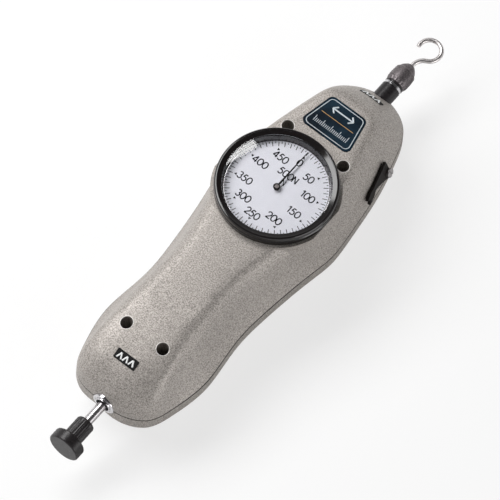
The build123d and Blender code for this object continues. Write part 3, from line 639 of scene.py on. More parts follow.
LEVER_BLACK = Finish(
    "lever black", light=(0.014, 0.010, 0.009), dark=(0.006, 0.0045, 0.004), roughness=(0.42, 0.55),
    relief_scale=2600, relief_depth=0.008, relief_strength=0.25, specular=0.15)
CHROME = Finish(
    "bright chrome", light=(0.70, 0.69, 0.70), dark=(0.52, 0.51, 0.53), metallic=1.0, roughness=(0.07, 0.16),
    contrast=1.4, relief=Pattern.LATHE, relief_scale=6000, relief_depth=0.004, relief_strength=0.1)
BRIGHT_STEEL = Finish(
    "ground steel", light=(0.60, 0.58, 0.59), dark=(0.38, 0.36, 0.37), metallic=1.0, roughness=(0.2, 0.34),
    contrast=1.6, relief=Pattern.LATHE, relief_scale=5000, relief_depth=0.006, relief_strength=0.2)
HOOK_STEEL = Finish(
    "drawn steel wire", light=(0.74, 0.71, 0.70), dark=(0.46, 0.43, 0.43), metallic=1.0,
    roughness=(0.22, 0.36), mottle_scale=900, relief_scale=2200, relief_depth=0.01, relief_strength=0.25)
SCREW_STEEL = Finish(
    "pivot screw steel", light=(0.46, 0.44, 0.44), dark=(0.26, 0.245, 0.245), metallic=1.0,
    roughness=(0.24, 0.4), relief_scale=2600, relief_depth=0.006, relief_strength=0.2)
BRASS = Finish(
    "machined brass", light=(0.70, 0.50, 0.22), dark=(0.55, 0.36, 0.14), metallic=1.0, roughness=(0.22, 0.36),
    relief=Pattern.LATHE, relief_depth=0.006, relief_strength=0.2)
# Pale colour painted round the pit rims as their highlight.
PIT_RIM_HIGHLIGHT = Finish(
    "painted rim highlight", light=(0.86, 0.84, 0.81), dark=(0.66, 0.64, 0.61), metallic=0.4, roughness=(0.3, 0.44),
    relief_scale=2600, relief_depth=0.01)
DIAL_WHITE = Finish(
    "dial white", light=(0.76, 0.765, 0.825), dark=(0.70, 0.70, 0.765), roughness=(0.42, 0.55),
    mottle_scale=300, contrast=1.4, relief_scale=5000, relief_depth=0.004, relief_strength=0.12)
INK = Finish(
    "printing ink", light=(0.009, 0.009, 0.011), dark=(0.005, 0.005, 0.006), roughness=(0.6, 0.7),
    relief_depth=0.002, relief_strength=0.1, specular=0.1)
NEEDLE_BLACK = Finish(
    "needle lacquer", light=(0.010, 0.009, 0.009), dark=(0.005, 0.005, 0.005), roughness=(0.6, 0.7),
    relief_depth=0.003, relief_strength=0.1, specular=0.1)
BADGE_NAVY = Finish(
    "badge navy", light=(0.012, 0.030, 0.048), dark=(0.004, 0.008, 0.014), roughness=(0.10, 0.16),
    mottle_scale=90, contrast=3.0, relief_scale=2600, relief_depth=0.002, relief_strength=0.1, specular=0.15)
SILVER_PRINT = Finish(
    "silver print", light=(0.66, 0.72, 0.76), dark=(0.48, 0.54, 0.58), metallic=0.2, roughness=(0.34, 0.46),
    relief_depth=0.003, relief_strength=0.15)
GOLD_PRINT = Finish(
    "gold print", light=(0.58, 0.36, 0.14), dark=(0.42, 0.25, 0.09), metallic=0.3, roughness=(0.34, 0.44),
    relief_depth=0.003, relief_strength=0.15)
WHITE_PRINT = Finish(
    "white print", light=(0.90, 0.91, 0.91), dark=(0.80, 0.81, 0.81), roughness=(0.4, 0.5),
    relief_depth=0.003, relief_strength=0.15)
LABEL_BLACK = Finish(
    "label black", light=(0.012, 0.012, 0.012), dark=(0.006, 0.006, 0.006), roughness=(0.46, 0.56),
    relief_scale=2600, relief_depth=0.006, relief_strength=0.2, specular=0.15)
RUBBER = Finish(
    "wiper rubber", light=(0.018, 0.017, 0.017), dark=(0.010, 0.010, 0.010), roughness=(0.6, 0.72),
    specular=0.2)


class Palette:
    """Builds each finish once, when it is first asked for."""

    def __init__(self) -> None:
        """Start with the shared effects and no materials."""
        self.effects = Effects()
        self.made: dict[str, Material] = {}

    def __getitem__(self, finish: Finish | Glass) -> Material:
        """Return the material of a finish."""
        if finish.name not in self.made:
            self.made[finish.name] = finish.build(self.effects)
        return self.made[finish.name]

    def dress(self, piece: Piece, finish: Finish | Glass) -> None:
        """Give a piece one finish all over."""
        piece.data.materials.clear()
        piece.data.materials.append(self[finish])

    def dress_nodes(self, finish: Finish | Glass, *nodes: str) -> None:
        """Give CAD nodes a finish and leave them as they are."""
        for node in nodes:
            self.dress(frame["nodes"][node], finish)


@dataclass
class SubAssembly:
    """What every sub-assembly shares: the palette, the body that it rides on and the pieces it has made."""

    palette: Palette
    body: str = "case"
    made: list[Piece] = field(default_factory=list)

    def keep(self, piece: Piece, finish: Finish | Glass, slot: str, body: str = "") -> None:
        """Dress a new piece, let it ride on a body and note it.

        Args:
            piece: The new piece.
            finish: Its finish.
            slot: Not used.
            body: The body it rides on, or none for this sub-assembly's own.
        """
        self.palette.dress(piece, finish)
        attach(piece, body or self.body)
        self.made.append(piece)

    def finished(
        self, piece: Piece, angle: float, finish: Finish, slot: str, node: str = "", body: str = ""
    ) -> None:
        """Smooth a new piece and keep it.

        Args:
            piece: The new piece.
            angle: Edges sharper than this stay sharp, in degrees.
            finish: Its finish.
            slot: The record's material slot that it belongs to.
            node: The CAD node it stands for, or none.
            body: The body it rides on, or none for this sub-assembly's own.
        """
        smooth(piece, angle)
        if node:
            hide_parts(node)
        self.keep(piece, finish, slot, body)

    def skin(
        self, node: str, finish: Finish | Glass, slot: str, angle: float = PLAIN_ANGLE, bevel: float = 0.0
    ) -> Piece:
        """Replace a CAD node by a merged and smoothed copy of it.

        Args:
            node: The CAD node.
            finish: The copy's finish.
            slot: The record's material slot.
            angle: Edges sharper than this stay sharp, in degrees.
            bevel: The width of rounded edges in metres, or none.
        Returns:
            The copy.
        """
        piece = bpy.data.objects.new(f"{node}_finished", frame["nodes"][node].data.copy())
        bpy.context.scene.collection.objects.link(piece)
        pick_only(piece)
        if piece.data.has_custom_normals:
            bpy.ops.mesh.customdata_custom_splitnormals_clear()
        with editing(piece):
            bpy.ops.mesh.remove_doubles(threshold=MERGE_REACH)
            if bevel:
                bpy.ops.mesh.dissolve_limited(angle_limit=radians(FLAT_ANGLE))
        smooth(piece, angle)
        if bevel:
            round_edges(piece, bevel)
        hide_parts(node)
        self.keep(piece, finish, slot, body=frame["nodes"][node]["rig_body"])
        return piece

    def report(self) -> None:
        """Log every piece of the sub-assembly."""
        for piece in self.made:
            log.info("%s: %s, %d faces", type(self).__name__, piece.name, len(piece.data.polygons))


# --- Print ---------------------------------------------------------------------------------------

def arc(
    x: float, y: float, wide: float, high: float, start: float, end: float, count: int = 14
) -> list[Point]:
    """Return places along an ellipse's arc.

    Args:
        x: The centre.
        y: The centre.
        wide: The half width.
        high: The half height.
        start: The first angle in degrees.
        end: The last angle in degrees.
        count: How many steps the arc has.
    Returns:
        The places from the first angle to the last.
    """
    turns = [radians(start + (end - start) * i / count) for i in range(count + 1)]
    return [(x + wide * cos(turn), y + high * sin(turn)) for turn in turns]


class Glyph(Enum):
    """The plain round digits of the dial and its unit, one unit high: width, then strokes."""

    ZERO = ("0", 0.72, (arc(0.36, 0.5, 0.3, 0.45, 90, 450, 26),))
    ONE = ("1", 0.42, ([(0.02, 0.78), (0.24, 0.95), (0.24, 0.05)],))
    TWO = ("2", 0.66, (arc(0.32, 0.68, 0.25, 0.27, 175, -38) + [(0.06, 0.06), (0.6, 0.06)],))
    THREE = ("3", 0.62, (arc(0.28, 0.73, 0.2, 0.22, 150, -80), arc(0.28, 0.3, 0.25, 0.25, 85, -155)))
    FOUR = ("4", 0.70, ([(0.48, 0.05), (0.48, 0.95), (0.04, 0.27), (0.64, 0.27)],))
    FIVE = ("5", 0.66, ([(0.55, 0.94), (0.22, 0.94), (0.12, 0.55)] + arc(0.28, 0.34, 0.27, 0.28, 118, -145),))
    NEWTON = ("N", 0.74, ([(0.07, 0.05), (0.07, 0.95), (0.6, 0.05), (0.6, 0.95)],))

    def __init__(self, sign: str, width: float, strokes: tuple[list[Point], ...]) -> None:
        """Name the parts of the value."""
        self.sign = sign
        self.width = width
        self.strokes = strokes


GLYPHS = {glyph.sign: glyph for glyph in Glyph}


def lettered(text: str, middle: Point, size: float, height: float) -> list[list[Place]]:
    """Return the lines of a short text of digits.

    Args:
        text: The digits and unit.
        middle: Where the middle of the text lies.
        size: The height of a digit.
        height: The height of the surface that carries the text.
    Returns:
        The places along each line.
    """
    width = sum(GLYPHS[sign].width for sign in text) * size
    left, low = middle[0] - width / 2, middle[1] - size / 2
    lines = []
    for sign in text:
        glyph = GLYPHS[sign]
        lines += [[(left + x * size, low + y * size, height) for x, y in stroke] for stroke in glyph.strokes]
        left += glyph.width * size
    return lines


# --- Sub-assemblies ------------------------------------------------------------------------------

@dataclass
class Housing(SubAssembly):
    """The two die-cast covers with their screws, and the painted highlights round the rims of the screw pits.
    """

    rim_radius: float = 2.8 * MM
    rim_width: float = 0.26 * MM
    rim_points: int = 40
    pit_spots: tuple[Point, ...] = ((14.6 * MM, 25.8 * MM), (9.5 * MM, -86.5 * MM))  # on the +X side
    post_reach: float = 4.8 * MM  # what lies this near a pit's middle belongs to its post
    middle_half: Point = (19 * MM, 36 * MM)  # half the stretch of the flat back that stays
    # Below each height, the rear cover's wall steps in by the distance beside it, or out.
    draw_in: tuple[Point, ...] = (
        (12.5 * MM, 1.5 * MM), (8.4 * MM, 1.1 * MM), (4.6 * MM, -0.6 * MM), (2.0 * MM, -1.0 * MM),
        (0.5 * MM, -1.0 * MM))

    def covers(self) -> None:
        """Replace the covers by smoothed copies, the rear one drawn in below its upright band."""
        self.skin("front_cover", CASE_PAINT, "case_paint", angle=CASE_ANGLE)
        rear = self.skin("rear_cover", CASE_PAINT, "case_paint", angle=CASE_ANGLE)
        low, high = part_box("rear_cover")
        middle = [(a + b) / 2 for a, b in zip(low, high)]
        with editing(rear):
            for level, step in self.draw_in:
                share = [1 - step * 2 / (b - a) for a, b in zip(low, high)]
                pick_vertices(rear, lambda place: place.z < level and not self.stays(place))
                bpy.ops.transform.resize(value=(share[0], share[1], 1), center_override=middle)
        smooth(rear, CASE_ANGLE)

    def stays(self, place: Vector) -> bool:
        """Tell whether a place in the rear cover belongs to a post or to the middle of the flat back."""
        flat = Vector((abs(place.x), place.y))
        if flat.x < self.middle_half[0] and abs(flat.y) < self.middle_half[1]:
            return True
        return any((flat - Vector(spot)).length < self.post_reach for spot in self.pit_spots)

    def pit_rims(self) -> None:
        """Draw a ring of painted highlight round the edge of each pit on the skin of the front cover."""
        lines = []
        for x, y in [(side * x, y) for x, y in self.pit_spots for side in (-1, 1)]:
            turns = [tau * i / self.rim_points for i in range(self.rim_points)]
            spots = [(x + self.rim_radius * cos(turn), y + self.rim_radius * sin(turn)) for turn in turns]
            lines.append([(u, v, height_on("front_cover", u, v)) for u, v in spots])
        rims = drawn("pit_rims", lines, self.rim_width, closed=True)
        # The rims are a painted highlight, in a pale finish.
        self.finished(rims, PRINT_ANGLE, PIT_RIM_HIGHLIGHT, "case_paint")

    def build(self) -> None:
        """Build the housing."""
        self.covers()
        self.pit_rims()
        self.skin("case_screws", BLACK_STEEL, "steel")


@dataclass
class Badge(SubAssembly):
    """The dark plate over the dial, with a silver border, a gold line and plain marks."""

    low_y: float = 31.2 * MM
    length: float = 17.5 * MM
    wide_half: float = 12.8 * MM
    narrow_half: float = 9.2 * MM
    edge_round: float = 0.12 * MM
    corner: float = 2.6 * MM
    corner_steps: int = 8
    corner_share: float = 0.6  # of an inset, by which a corner's radius shrinks with it
    margin: float = 1.05 * MM
    border_width: float = 0.34 * MM
    gold_width: float = 0.3 * MM
    gold_margin: float = 2.65 * MM
    gold_share: float = 0.52  # of the plate's length, as the next two
    arrow_share: float = 0.745
    rule_share: float = 0.2
    arrow_half: float = 5.4 * MM
    arrow_barb: float = 1.75 * MM
    arrow_width: float = 0.715 * MM
    rule_half: float = 8.4 * MM
    rule_ticks: int = 21
    long_every: int = 5
    rule_width: float = 0.3 * MM
    long_tick: float = 2.9 * MM
    short_tick: float = 1.7 * MM

    def top(self) -> float:
        """Return the height of the plate's face."""
        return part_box("badge_plate")[1][2]

    def y_at(self, share: float) -> float:
        """Return the place along the gauge at a share of the plate's length."""
        return self.low_y + share * self.length

    def half_at(self, y: float, inset: float) -> float:
        """Return the half width of the plate at a place along the gauge, less an inset."""
        share = (y - self.low_y) / self.length
        return self.wide_half + share * (self.narrow_half - self.wide_half) - inset

    def outline(self, inset: float) -> list[Place]:
        """Return the places round the plate's outline, moved in by an inset."""
        low, high = self.low_y + inset, self.low_y + self.length - inset
        radius = self.corner - inset * self.corner_share
        slant = degrees(atan2((self.wide_half - self.narrow_half) / self.length, 1))
        height = self.top()
        right = []
        for y, side, start, end in ((low, 1, -90, slant), (high, -1, slant, 90)):
            centre_y = y + side * radius
            centre_x = self.half_at(centre_y, inset) - radius / cos(radians(slant))
            right += arc(centre_x, centre_y, radius, radius, start, end, self.corner_steps)
        left = [(-x, y) for x, y in reversed(right)]
        return [(x, y, height) for x, y in right + left]

    def draw(self, name: str, lines: list, width: float, finish: Finish, closed: bool = False) -> None:
        """Draw one print of the badge and keep it."""
        self.finished(drawn(name, lines, width, closed), PRINT_ANGLE, finish, "badge")

    def arrow(self) -> list[list[Place]]:
        """Return the lines of the double arrow."""
        y, height, barb = self.y_at(self.arrow_share), self.top(), self.arrow_barb
        lines = [[(-self.arrow_half, y, height), (self.arrow_half, y, height)]]
        for side in (-1, 1):
            tip = side * self.arrow_half
            foot = tip - side * barb
            lines.append([(foot, y + barb, height), (tip, y, height), (foot, y - barb, height)])
        return lines

    def rule(self) -> list[list[Place]]:
        """Return the ticks of the short rule, some of them long."""
        y, height = self.y_at(self.rule_share), self.top()
        lines = []
        for index in range(self.rule_ticks):
            x = self.rule_half * (2 * index / (self.rule_ticks - 1) - 1)
            tall = self.short_tick if index % self.long_every else self.long_tick
            lines.append([(x, y, height), (x, y + tall, height)])
        return lines

    def build(self) -> None:
        """Build the badge."""
        self.skin("badge_plate", BADGE_NAVY, "badge", bevel=self.edge_round)
        self.draw("badge_border", [self.outline(self.margin)], self.border_width, SILVER_PRINT, closed=True)
        y = self.y_at(self.gold_share)
        half = self.half_at(y, self.gold_margin)
        gold = [[(-half, y, self.top()), (half, y, self.top())]]
        self.draw("badge_gold_line", gold, self.gold_width, GOLD_PRINT)
        self.draw("badge_arrow", self.arrow(), self.arrow_width, SILVER_PRINT)
        self.draw("badge_rule", self.rule(), self.rule_width, SILVER_PRINT)


@dataclass
class EndLabel(SubAssembly):
    """A small black plate at one end, with plain white arrowheads along the shaft."""

    node: str = "push_label"
    count: int = 3
    spacing: float = 3.0 * MM
    half_width: float = 1.1 * MM
    half_height: float = 1.15 * MM
    line_width: float = 0.72 * MM

    def arrowheads(self) -> None:
        """Draw the arrowheads on the plate's curved face."""
        low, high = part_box(self.node)
        x0, y0 = (low[0] + high[0]) / 2, (low[1] + high[1]) / 2
        lines = []
        for index in range(self.count):
            x = x0 + (index - (self.count - 1) / 2) * self.spacing
            ends = [(x - self.half_width, y0 - self.half_height), (x, y0 + self.half_height)]
            ends.append((x + self.half_width, y0 - self.half_height))
            lines.append([(u, v, height_on(self.node, u, v)) for u, v in ends])
        arrows = drawn(f"{self.node}_arrows", lines, self.line_width)
        self.finished(arrows, PRINT_ANGLE, WHITE_PRINT, "label_black")

    def build(self) -> None:
        """Build the label."""
        self.skin(self.node, LABEL_BLACK, "label_black")
        self.arrowheads()


@dataclass
class Dial(SubAssembly):
    """The dial with its print, the black bezel, the inner ring and the crystal."""

    body: str = "dial"
    marker_ring: float = 18.0 * MM  # the places of the numbers are shares of this radius
    digit_size: float = 3.45 * MM
    digit_width: float = 0.56 * MM
    unit_size: float = 2.7 * MM
    unit_width: float = 0.4032 * MM
    unit_spot: Point = (0.04, 0.205)
    tick_outer: float = 21.5 * MM
    long_tick: float = 2.1 * MM
    short_tick: float = 0.75 * MM
    tick_width: float = 0.3 * MM
    tick_height: float = 0.05 * MM
    divisions: int = 50
    seat: float = 47.05 * MM  # where the bezel's flange begins, just over the boss
    rim_round: float = 1.0 * MM
    rim_steps: int = 8
    spigot_step: float = 1.5 * MM
    groove_step: float = 2.1 * MM
    snap_play: float = 0.02 * MM
    glass_play: float = 0.01 * MM
    # Corners in millimetres from the rim and the bezel's top, and from the crystal's edge and top.
    rim_groove: tuple[Point, ...] = ((0, -3.1), (-0.3, -2.8), (-0.3, -2.4), (0, -2.1))
    lip: tuple[Point, ...] = ((-1.17, -0.1), (-1.23, -0.25))
    glass_lip: tuple[Point, ...] = ((-0.15, 0.12), (-0.2, 0), (0, 0))
    slope: Point = (1.24 * MM, 0.2 * MM)  # how far in the inner ring's slope ends, at its foot and top
    bright_edge: tuple[Point, ...] = ((-0.26, 0), (-0.156, 0.34), (0, 0.34), (0, 0))
    marker_count: int = 10
    marker_radius: float = 0.75 * MM
    numbers: tuple[tuple[str, Point], ...] = (
        ("0", (0.008, 0.846)), ("50", (0.415, 0.669)), ("100", (0.694, 0.284)), ("150", (0.696, -0.231)),
        ("200", (0.441, -0.644)), ("250", (-0.017, -0.860)), ("300", (-0.455, -0.642)),
        ("350", (-0.717, -0.261)), ("400", (-0.701, 0.287)), ("450", (-0.42, 0.687)),
        ("500N", (0.007, 0.428)))

    def face(self) -> float:
        """Return the height of the dial's face."""
        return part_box("dial_plate")[1][2]

    def tick_ring(self, name: str, length: float, turn: float) -> None:
        """Model one tick and copy it round the dial.

        Args:
            name: The ring's name.
            length: A tick's length.
            turn: The angle of the first tick in degrees from +Y.
        """
        bpy.ops.object.select_all(action="DESELECT")
        middle = self.tick_outer - length / 2
        bpy.ops.mesh.primitive_cube_add(size=1, location=(0, middle, self.face()))
        tick = start_piece(name)
        tick.scale = (self.tick_width, length, 2 * self.tick_height)
        settle(tick)
        with editing(tick):
            bpy.ops.transform.rotate(
                value=radians(turn), orient_axis="Z", center_override=(0, 0, self.face()))
        ringed(tick, self.divisions)
        self.keep(tick, INK, "needle_black")

    def markers(self) -> None:
        """Model one small triangle and copy it round the dial."""
        bpy.ops.object.select_all(action="DESELECT")
        bpy.ops.mesh.primitive_cylinder_add(
            vertices=3, radius=self.marker_radius, depth=2 * self.tick_height,
            location=(0, self.marker_ring, self.face()))
        marker = start_piece("dial_markers")
        settle(marker)
        ringed(marker, self.marker_count)
        self.keep(marker, INK, "needle_black")

    def lines_of(self, text: str, spot: Point, size: float) -> list[list[Place]]:
        """Return the lines of a number whose middle lies at shares of the markers' radius."""
        return lettered(text, (spot[0] * self.marker_ring, spot[1] * self.marker_ring), size, self.face())

    def numerals(self) -> None:
        """Draw the numbers and the capacity, and the small unit."""
        numbers = [line for text, spot in self.numbers for line in self.lines_of(text, spot, self.digit_size)]
        unit = self.lines_of("N", self.unit_spot, self.unit_size)
        for name, lines, width in (
                ("dial_numbers", numbers, self.digit_width), ("dial_unit", unit, self.unit_width)):
            self.finished(drawn(name, lines, width), PRINT_ANGLE, INK, "needle_black")

    def bezel(self) -> None:
        """Turn the bezel: its spigot with the snap-ring groove, its round rim and its lip on the crystal."""
        low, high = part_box("bezel")
        foot, top, rim = low[2], high[2], high[0]
        snap_low, snap_high = (corner[2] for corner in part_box("bezel_snap_ring"))
        snap_low, snap_high = snap_low - self.snap_play, snap_high + self.snap_play
        bore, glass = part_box("crystal")[1][0] + self.glass_play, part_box("crystal")[1][2]
        spigot, groove, curve = rim - self.spigot_step, rim - self.groove_step, self.rim_round
        profile = [
            (bore, foot), (spigot, foot), (spigot, snap_low), (groove, snap_low), (groove, snap_high),
            (spigot, snap_high), (spigot, self.seat), (rim, self.seat),
            *section(self.rim_groove, rim, top),
            *arc(rim - curve, top - curve, curve, curve, 0, 90, self.rim_steps),
            *section(self.lip, rim, top), *section(self.glass_lip, bore, glass)]
        bezel = turned("bezel_turned", profile, TURNED_STEPS)
        self.finished(bezel, CASE_ANGLE, BLACK_GLOSS, "bezel_black", "bezel")

    def rings(self) -> None:
        """Turn the black ring that slopes from the crystal to the dial, and the polished edge at its foot."""
        low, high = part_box("dial_ring")
        outer, foot, top = high[0], low[2], high[2]
        profile = [(outer - self.slope[0], foot), (outer, foot), (outer, top), (outer - self.slope[1], top)]
        ring = turned("dial_ring_turned", profile, TURNED_STEPS)
        self.finished(ring, PLAIN_ANGLE, RING_GLOSS, "chrome", "dial_ring")
        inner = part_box("dial_plate")[1][0] - self.slope[0]
        edge = turned("dial_bright_edge", section(self.bright_edge, inner, self.face()), TURNED_STEPS)
        self.finished(edge, ROD_ANGLE, CHROME, "chrome")

    def build(self) -> None:
        """Build the dial."""
        self.skin("dial_plate", DIAL_WHITE, "dial_white")
        self.skin("crystal", Glass(), "glass")
        self.bezel()
        self.rings()
        self.tick_ring("dial_long_ticks", self.long_tick, 0)
        self.tick_ring("dial_short_ticks", self.short_tick, 180 / self.divisions)
        self.markers()
        self.numerals()
        self.palette.dress_nodes(BRIGHT_STEEL, "bezel_snap_ring")
        self.palette.dress_nodes(BLACK_STEEL, "dial_carrier")


@dataclass
class Needle(SubAssembly):
    """The slim pointer with its turned hub."""

    body: str = "pointer"
    edge_round: float = 0.04 * MM
    hub_steps: int = 48
    # Corners in millimetres: radius, then height over the needle.
    hub_section: tuple[Point, ...] = (
        (0.94, -0.02), (1.45, -0.02), (1.45, 0.28), (1.31, 0.42), (1.07, 0.42), (0.94, 0.3))

    def build(self) -> None:
        """Build the needle."""
        self.skin("needle", NEEDLE_BLACK, "needle_black", bevel=self.edge_round)
        profile = section(self.hub_section, height=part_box("needle")[1][2])
        hub = turned("needle_hub", profile, self.hub_steps)
        self.finished(hub, RING_ANGLE, NEEDLE_BLACK, "needle_black")
        self.skin("centre_arbor", ARBOR_STEEL, "steel")


@dataclass
class HoldLever(SubAssembly):
    """The black hold lever with its bright slotted screw."""

    body: str = "lever"
    edge_round: float = 0.16 * MM
    screw_round: float = 0.08 * MM

    def build(self) -> None:
        """Build the lever."""
        self.skin("hold_lever", LEVER_BLACK, "black_steel", bevel=self.edge_round)
        self.skin("lever_screw", SCREW_STEEL, "chrome", bevel=self.screw_round)
        self.palette.dress_nodes(BRIGHT_STEEL, "hold_cam")


@dataclass
class PushEnd(SubAssembly):
    """The bright collar and rod with the black knurled push head."""

    body: str = "shaft"
    steps: int = 60
    collar_steps: int = 96
    wiper_steps: int = 64
    head_radius: float = 7.3 * MM
    hub_radius: float = 4.2 * MM
    head_length: float = 5.0 * MM
    knurl_edge: float = 0.4 * MM
    knurl_depth: float = 0.26 * MM
    hub_knurl_depth: float = 0.1 * MM
    hub_knurl_ends: Point = (1.2 * MM, 1.6 * MM)  # how far it stays from the head and from the mouth
    head_rows: int = 6
    hub_rows: int = 5
    # Corners in millimetres: radius, then distance along the shaft from the end, step or face named.
    nose_from_end: tuple[Point, ...] = ((0, 0), (6.55, 0), (6.9, 0.12))
    neck_from_step: tuple[Point, ...] = ((6.9, 0), (3.95, 0), (3.95, 0.9))
    mouth_from_mouth: tuple[Point, ...] = ((4.2, -0.9), (3.95, -0.3), (3.45, 0), (2.15, 0))
    bore_from_step: tuple[Point, ...] = ((2.15, 2), (0, 2))
    collar_from_face: tuple[Point, ...] = (
        (2.15, 0.7), (3.1, 0.6), (3.25, 0), (3.55, 0), (3.75, 0.15), (3.85, 0.6), (4.35, 0.72), (4.55, 0.45),
        (5.05, 0.5), (5.3, 0.62), (5.4, 0.95), (5.4, 2), (3.6, 2))
    collar_from_back: tuple[Point, ...] = ((3.6, -1.6), (5.4, -1.6), (5.4, 0), (2.15, 0))
    wiper_from_face: tuple[Point, ...] = (
        (2.16, 0.72), (2.16, 0.32), (2.36, 0.12), (2.88, 0.12), (3.08, 0.32), (3.08, 0.72))

    def head(self) -> None:
        """Turn the push head and knurl its rim and its hub."""
        low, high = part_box("push_head")
        end, mouth = low[1], high[1]
        step = end + self.head_length
        head_low, head_high = end + self.knurl_edge, step - self.knurl_edge
        hub_low, hub_high = step + self.hub_knurl_ends[0], mouth - self.hub_knurl_ends[1]
        profile = [
            *section(self.nose_from_end, height=end),
            *even_rings(self.head_radius, head_low, head_high, self.head_rows),
            *section(self.neck_from_step, height=step),
            *even_rings(self.hub_radius, hub_low, hub_high, self.hub_rows),
            *section(self.mouth_from_mouth, height=mouth), *section(self.bore_from_step, height=step)]
        centre = axis_of("push_head")
        head = turned("push_head_knurled", profile, self.steps, Axis.SHAFT, centre)
        Knurl(head_low, head_high, self.head_rows, self.steps, self.knurl_depth).press(head, centre)
        hub_knurl = Knurl(hub_low, hub_high, self.hub_rows, self.steps, self.hub_knurl_depth, straight=True)
        hub_knurl.press(head, centre)
        self.finished(head, KNURL_ANGLE, BLACK_STEEL, "black_steel", "push_head")

    def wiper(self) -> None:
        """Turn the dark wiper ring between the collar and the rod."""
        profile = section(self.wiper_from_face, height=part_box("push_bush")[0][1])
        ring = turned("wiper_ring", profile, self.wiper_steps, Axis.SHAFT, axis_of("push_head"))
        self.finished(ring, RING_ANGLE, RUBBER, "black_steel", body="case")

    def collar(self) -> None:
        """Turn the bright bush: a rounded flange, a groove, a raised lip, its neck and its inner flange."""
        low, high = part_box("push_bush")
        profile = [
            *section(self.collar_from_face, height=low[1]), *section(self.collar_from_back, height=high[1])]
        bush = turned("push_bush_turned", profile, self.collar_steps, Axis.SHAFT, axis_of("push_head"))
        self.finished(bush, COLLAR_ANGLE, CHROME, "chrome", "push_bush", body="case")

    def build(self) -> None:
        """Build the push end."""
        self.head()
        self.wiper()
        self.collar()
        self.skin("measuring_shaft", BRIGHT_STEEL, "chrome", angle=ROD_ANGLE)


@dataclass
class PullEnd(SubAssembly):
    """The black chuck with its bright groove, its knurled sleeve and the steel wire hook."""

    body: str = "shaft"
    steps: int = 48
    ring_steps: int = 72
    knurl_rows: int = 9
    knurl_depth: float = 0.24 * MM
    length: float = 11.2 * MM
    widest: float = 4.95 * MM
    throat: float = 4.3 * MM
    throat_edge: float = 0.15 * MM
    bore: float = 1.01 * MM
    knurl_band: Point = (0.14, 0.66)  # shares of the length
    swell: float = 0.5 * MM
    swell_arc: Point = (0.3, 0.55)  # where the swell's half wave starts, and how much of it shows
    # Shares of the length and of the widest radius.
    nose: tuple[Point, ...] = (
        (0.69, 0.86), (0.71, 0.82), (0.80, 0.74), (0.88, 0.62), (0.95, 0.48), (1.0, 0.36))
    ring_back: float = 2.4 * MM  # how far behind the sleeve the bright ring begins
    ring_section: tuple[Point, ...] = (
        (3.4, 0), (3.95, 0), (4.2, 0.25), (4.2, 1.35), (3.95, 1.6), (3.4, 1.6))

    def sleeve(self) -> None:
        """Turn the bullet-shaped sleeve and knurl its grip."""
        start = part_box("chuck_sleeve")[0][1]
        low, high = (start + share * self.length for share in self.knurl_band)
        edge = self.throat_edge
        profile = [(self.bore, start), (self.throat - edge, start), (self.throat, start + edge)]
        for row in range(self.knurl_rows + 1):
            share = row / self.knurl_rows
            wave = sin(pi * (self.swell_arc[0] + self.swell_arc[1] * share))
            profile.append((self.widest - self.swell * (1 - wave), low + share * (high - low)))
        profile += [(ratio * self.widest, start + along * self.length) for along, ratio in self.nose]
        profile.append((self.bore, start + self.length))
        centre = axis_of("chuck_sleeve")
        sleeve = turned("chuck_sleeve_knurled", profile, self.steps, Axis.SHAFT, centre)
        Knurl(low, high, self.knurl_rows, self.steps, self.knurl_depth).press(sleeve, centre)
        self.finished(sleeve, KNURL_ANGLE, GREY_STEEL, "black_steel", "chuck_sleeve")

    def bright_ring(self) -> None:
        """Turn the bright ring in the groove behind the sleeve."""
        profile = section(self.ring_section, height=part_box("chuck_sleeve")[0][1] - self.ring_back)
        ring = turned("chuck_bright_ring", profile, self.ring_steps, Axis.SHAFT, axis_of("chuck_sleeve"))
        self.finished(ring, RING_ANGLE, CHROME, "chrome")

    def build(self) -> None:
        """Build the pull end."""
        self.sleeve()
        self.bright_ring()
        self.skin("hook_chuck", BLACK_STEEL, "black_steel", angle=RING_ANGLE)
        self.skin("hook", HOOK_STEEL, "steel", angle=ROD_ANGLE)
        self.palette.dress_nodes(BLACK_STEEL, "pull_bush")


@dataclass
class Movement(SubAssembly):
    """The inner pieces: the spring, the plates and the gear train."""

    stroke: float = 10.05 * MM

    def spring(self) -> None:
        """Replace the spring by a smoothed copy with a mesh of its own."""
        spring = self.skin("measuring_spring", BRIGHT_STEEL, "chrome")
        low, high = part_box("measuring_spring")
        high[1]
        (low[2] + high[2]) / 2
        1 - self.stroke / (high[1] - low[1])
        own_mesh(spring)

    def build(self) -> None:
        """Build the spring and dress the other inner pieces, which keep their CAD meshes."""
        self.palette.dress_nodes(
            BRIGHT_STEEL, "spring_anchor", "spring_seat", "guide_rod", "movement_screws",
            "rack_carrier", "rack", "idler_arbor")
        self.palette.dress_nodes(
            BRASS, "movement_plate", "movement_bridge", "movement_pillars", "centre_pinion", "idler_pinion",
            "idler_gear")
        self.spring()


# --- Studio --------------------------------------------------------------------------------------

@dataclass(frozen=True)
class Softbox:
    """A rectangular lamp: where it hangs, where it points, its sides and its power."""

    name: str
    place: Place
    target: Place
    sides: tuple[float, float]
    watts: float
    turn: float = 0.0

    def hang(self) -> None:
        """Hang the lamp."""
        light = bpy.data.lights.new(self.name, "AREA")
        light.shape = "RECTANGLE"
        light.size, light.size_y = self.sides
        light.energy = self.watts
        lamp = bpy.data.objects.new(self.name, light)
        bpy.context.scene.collection.objects.link(lamp)
        way = Vector(self.target) - Vector(self.place)
        lamp.rotation_mode = "QUATERNION"
        spin = Matrix.Rotation(self.turn, 4, "Z").to_quaternion()
        lamp.rotation_quaternion = way.to_track_quat("-Z", "Y") @ spin
        lamp.location = self.place


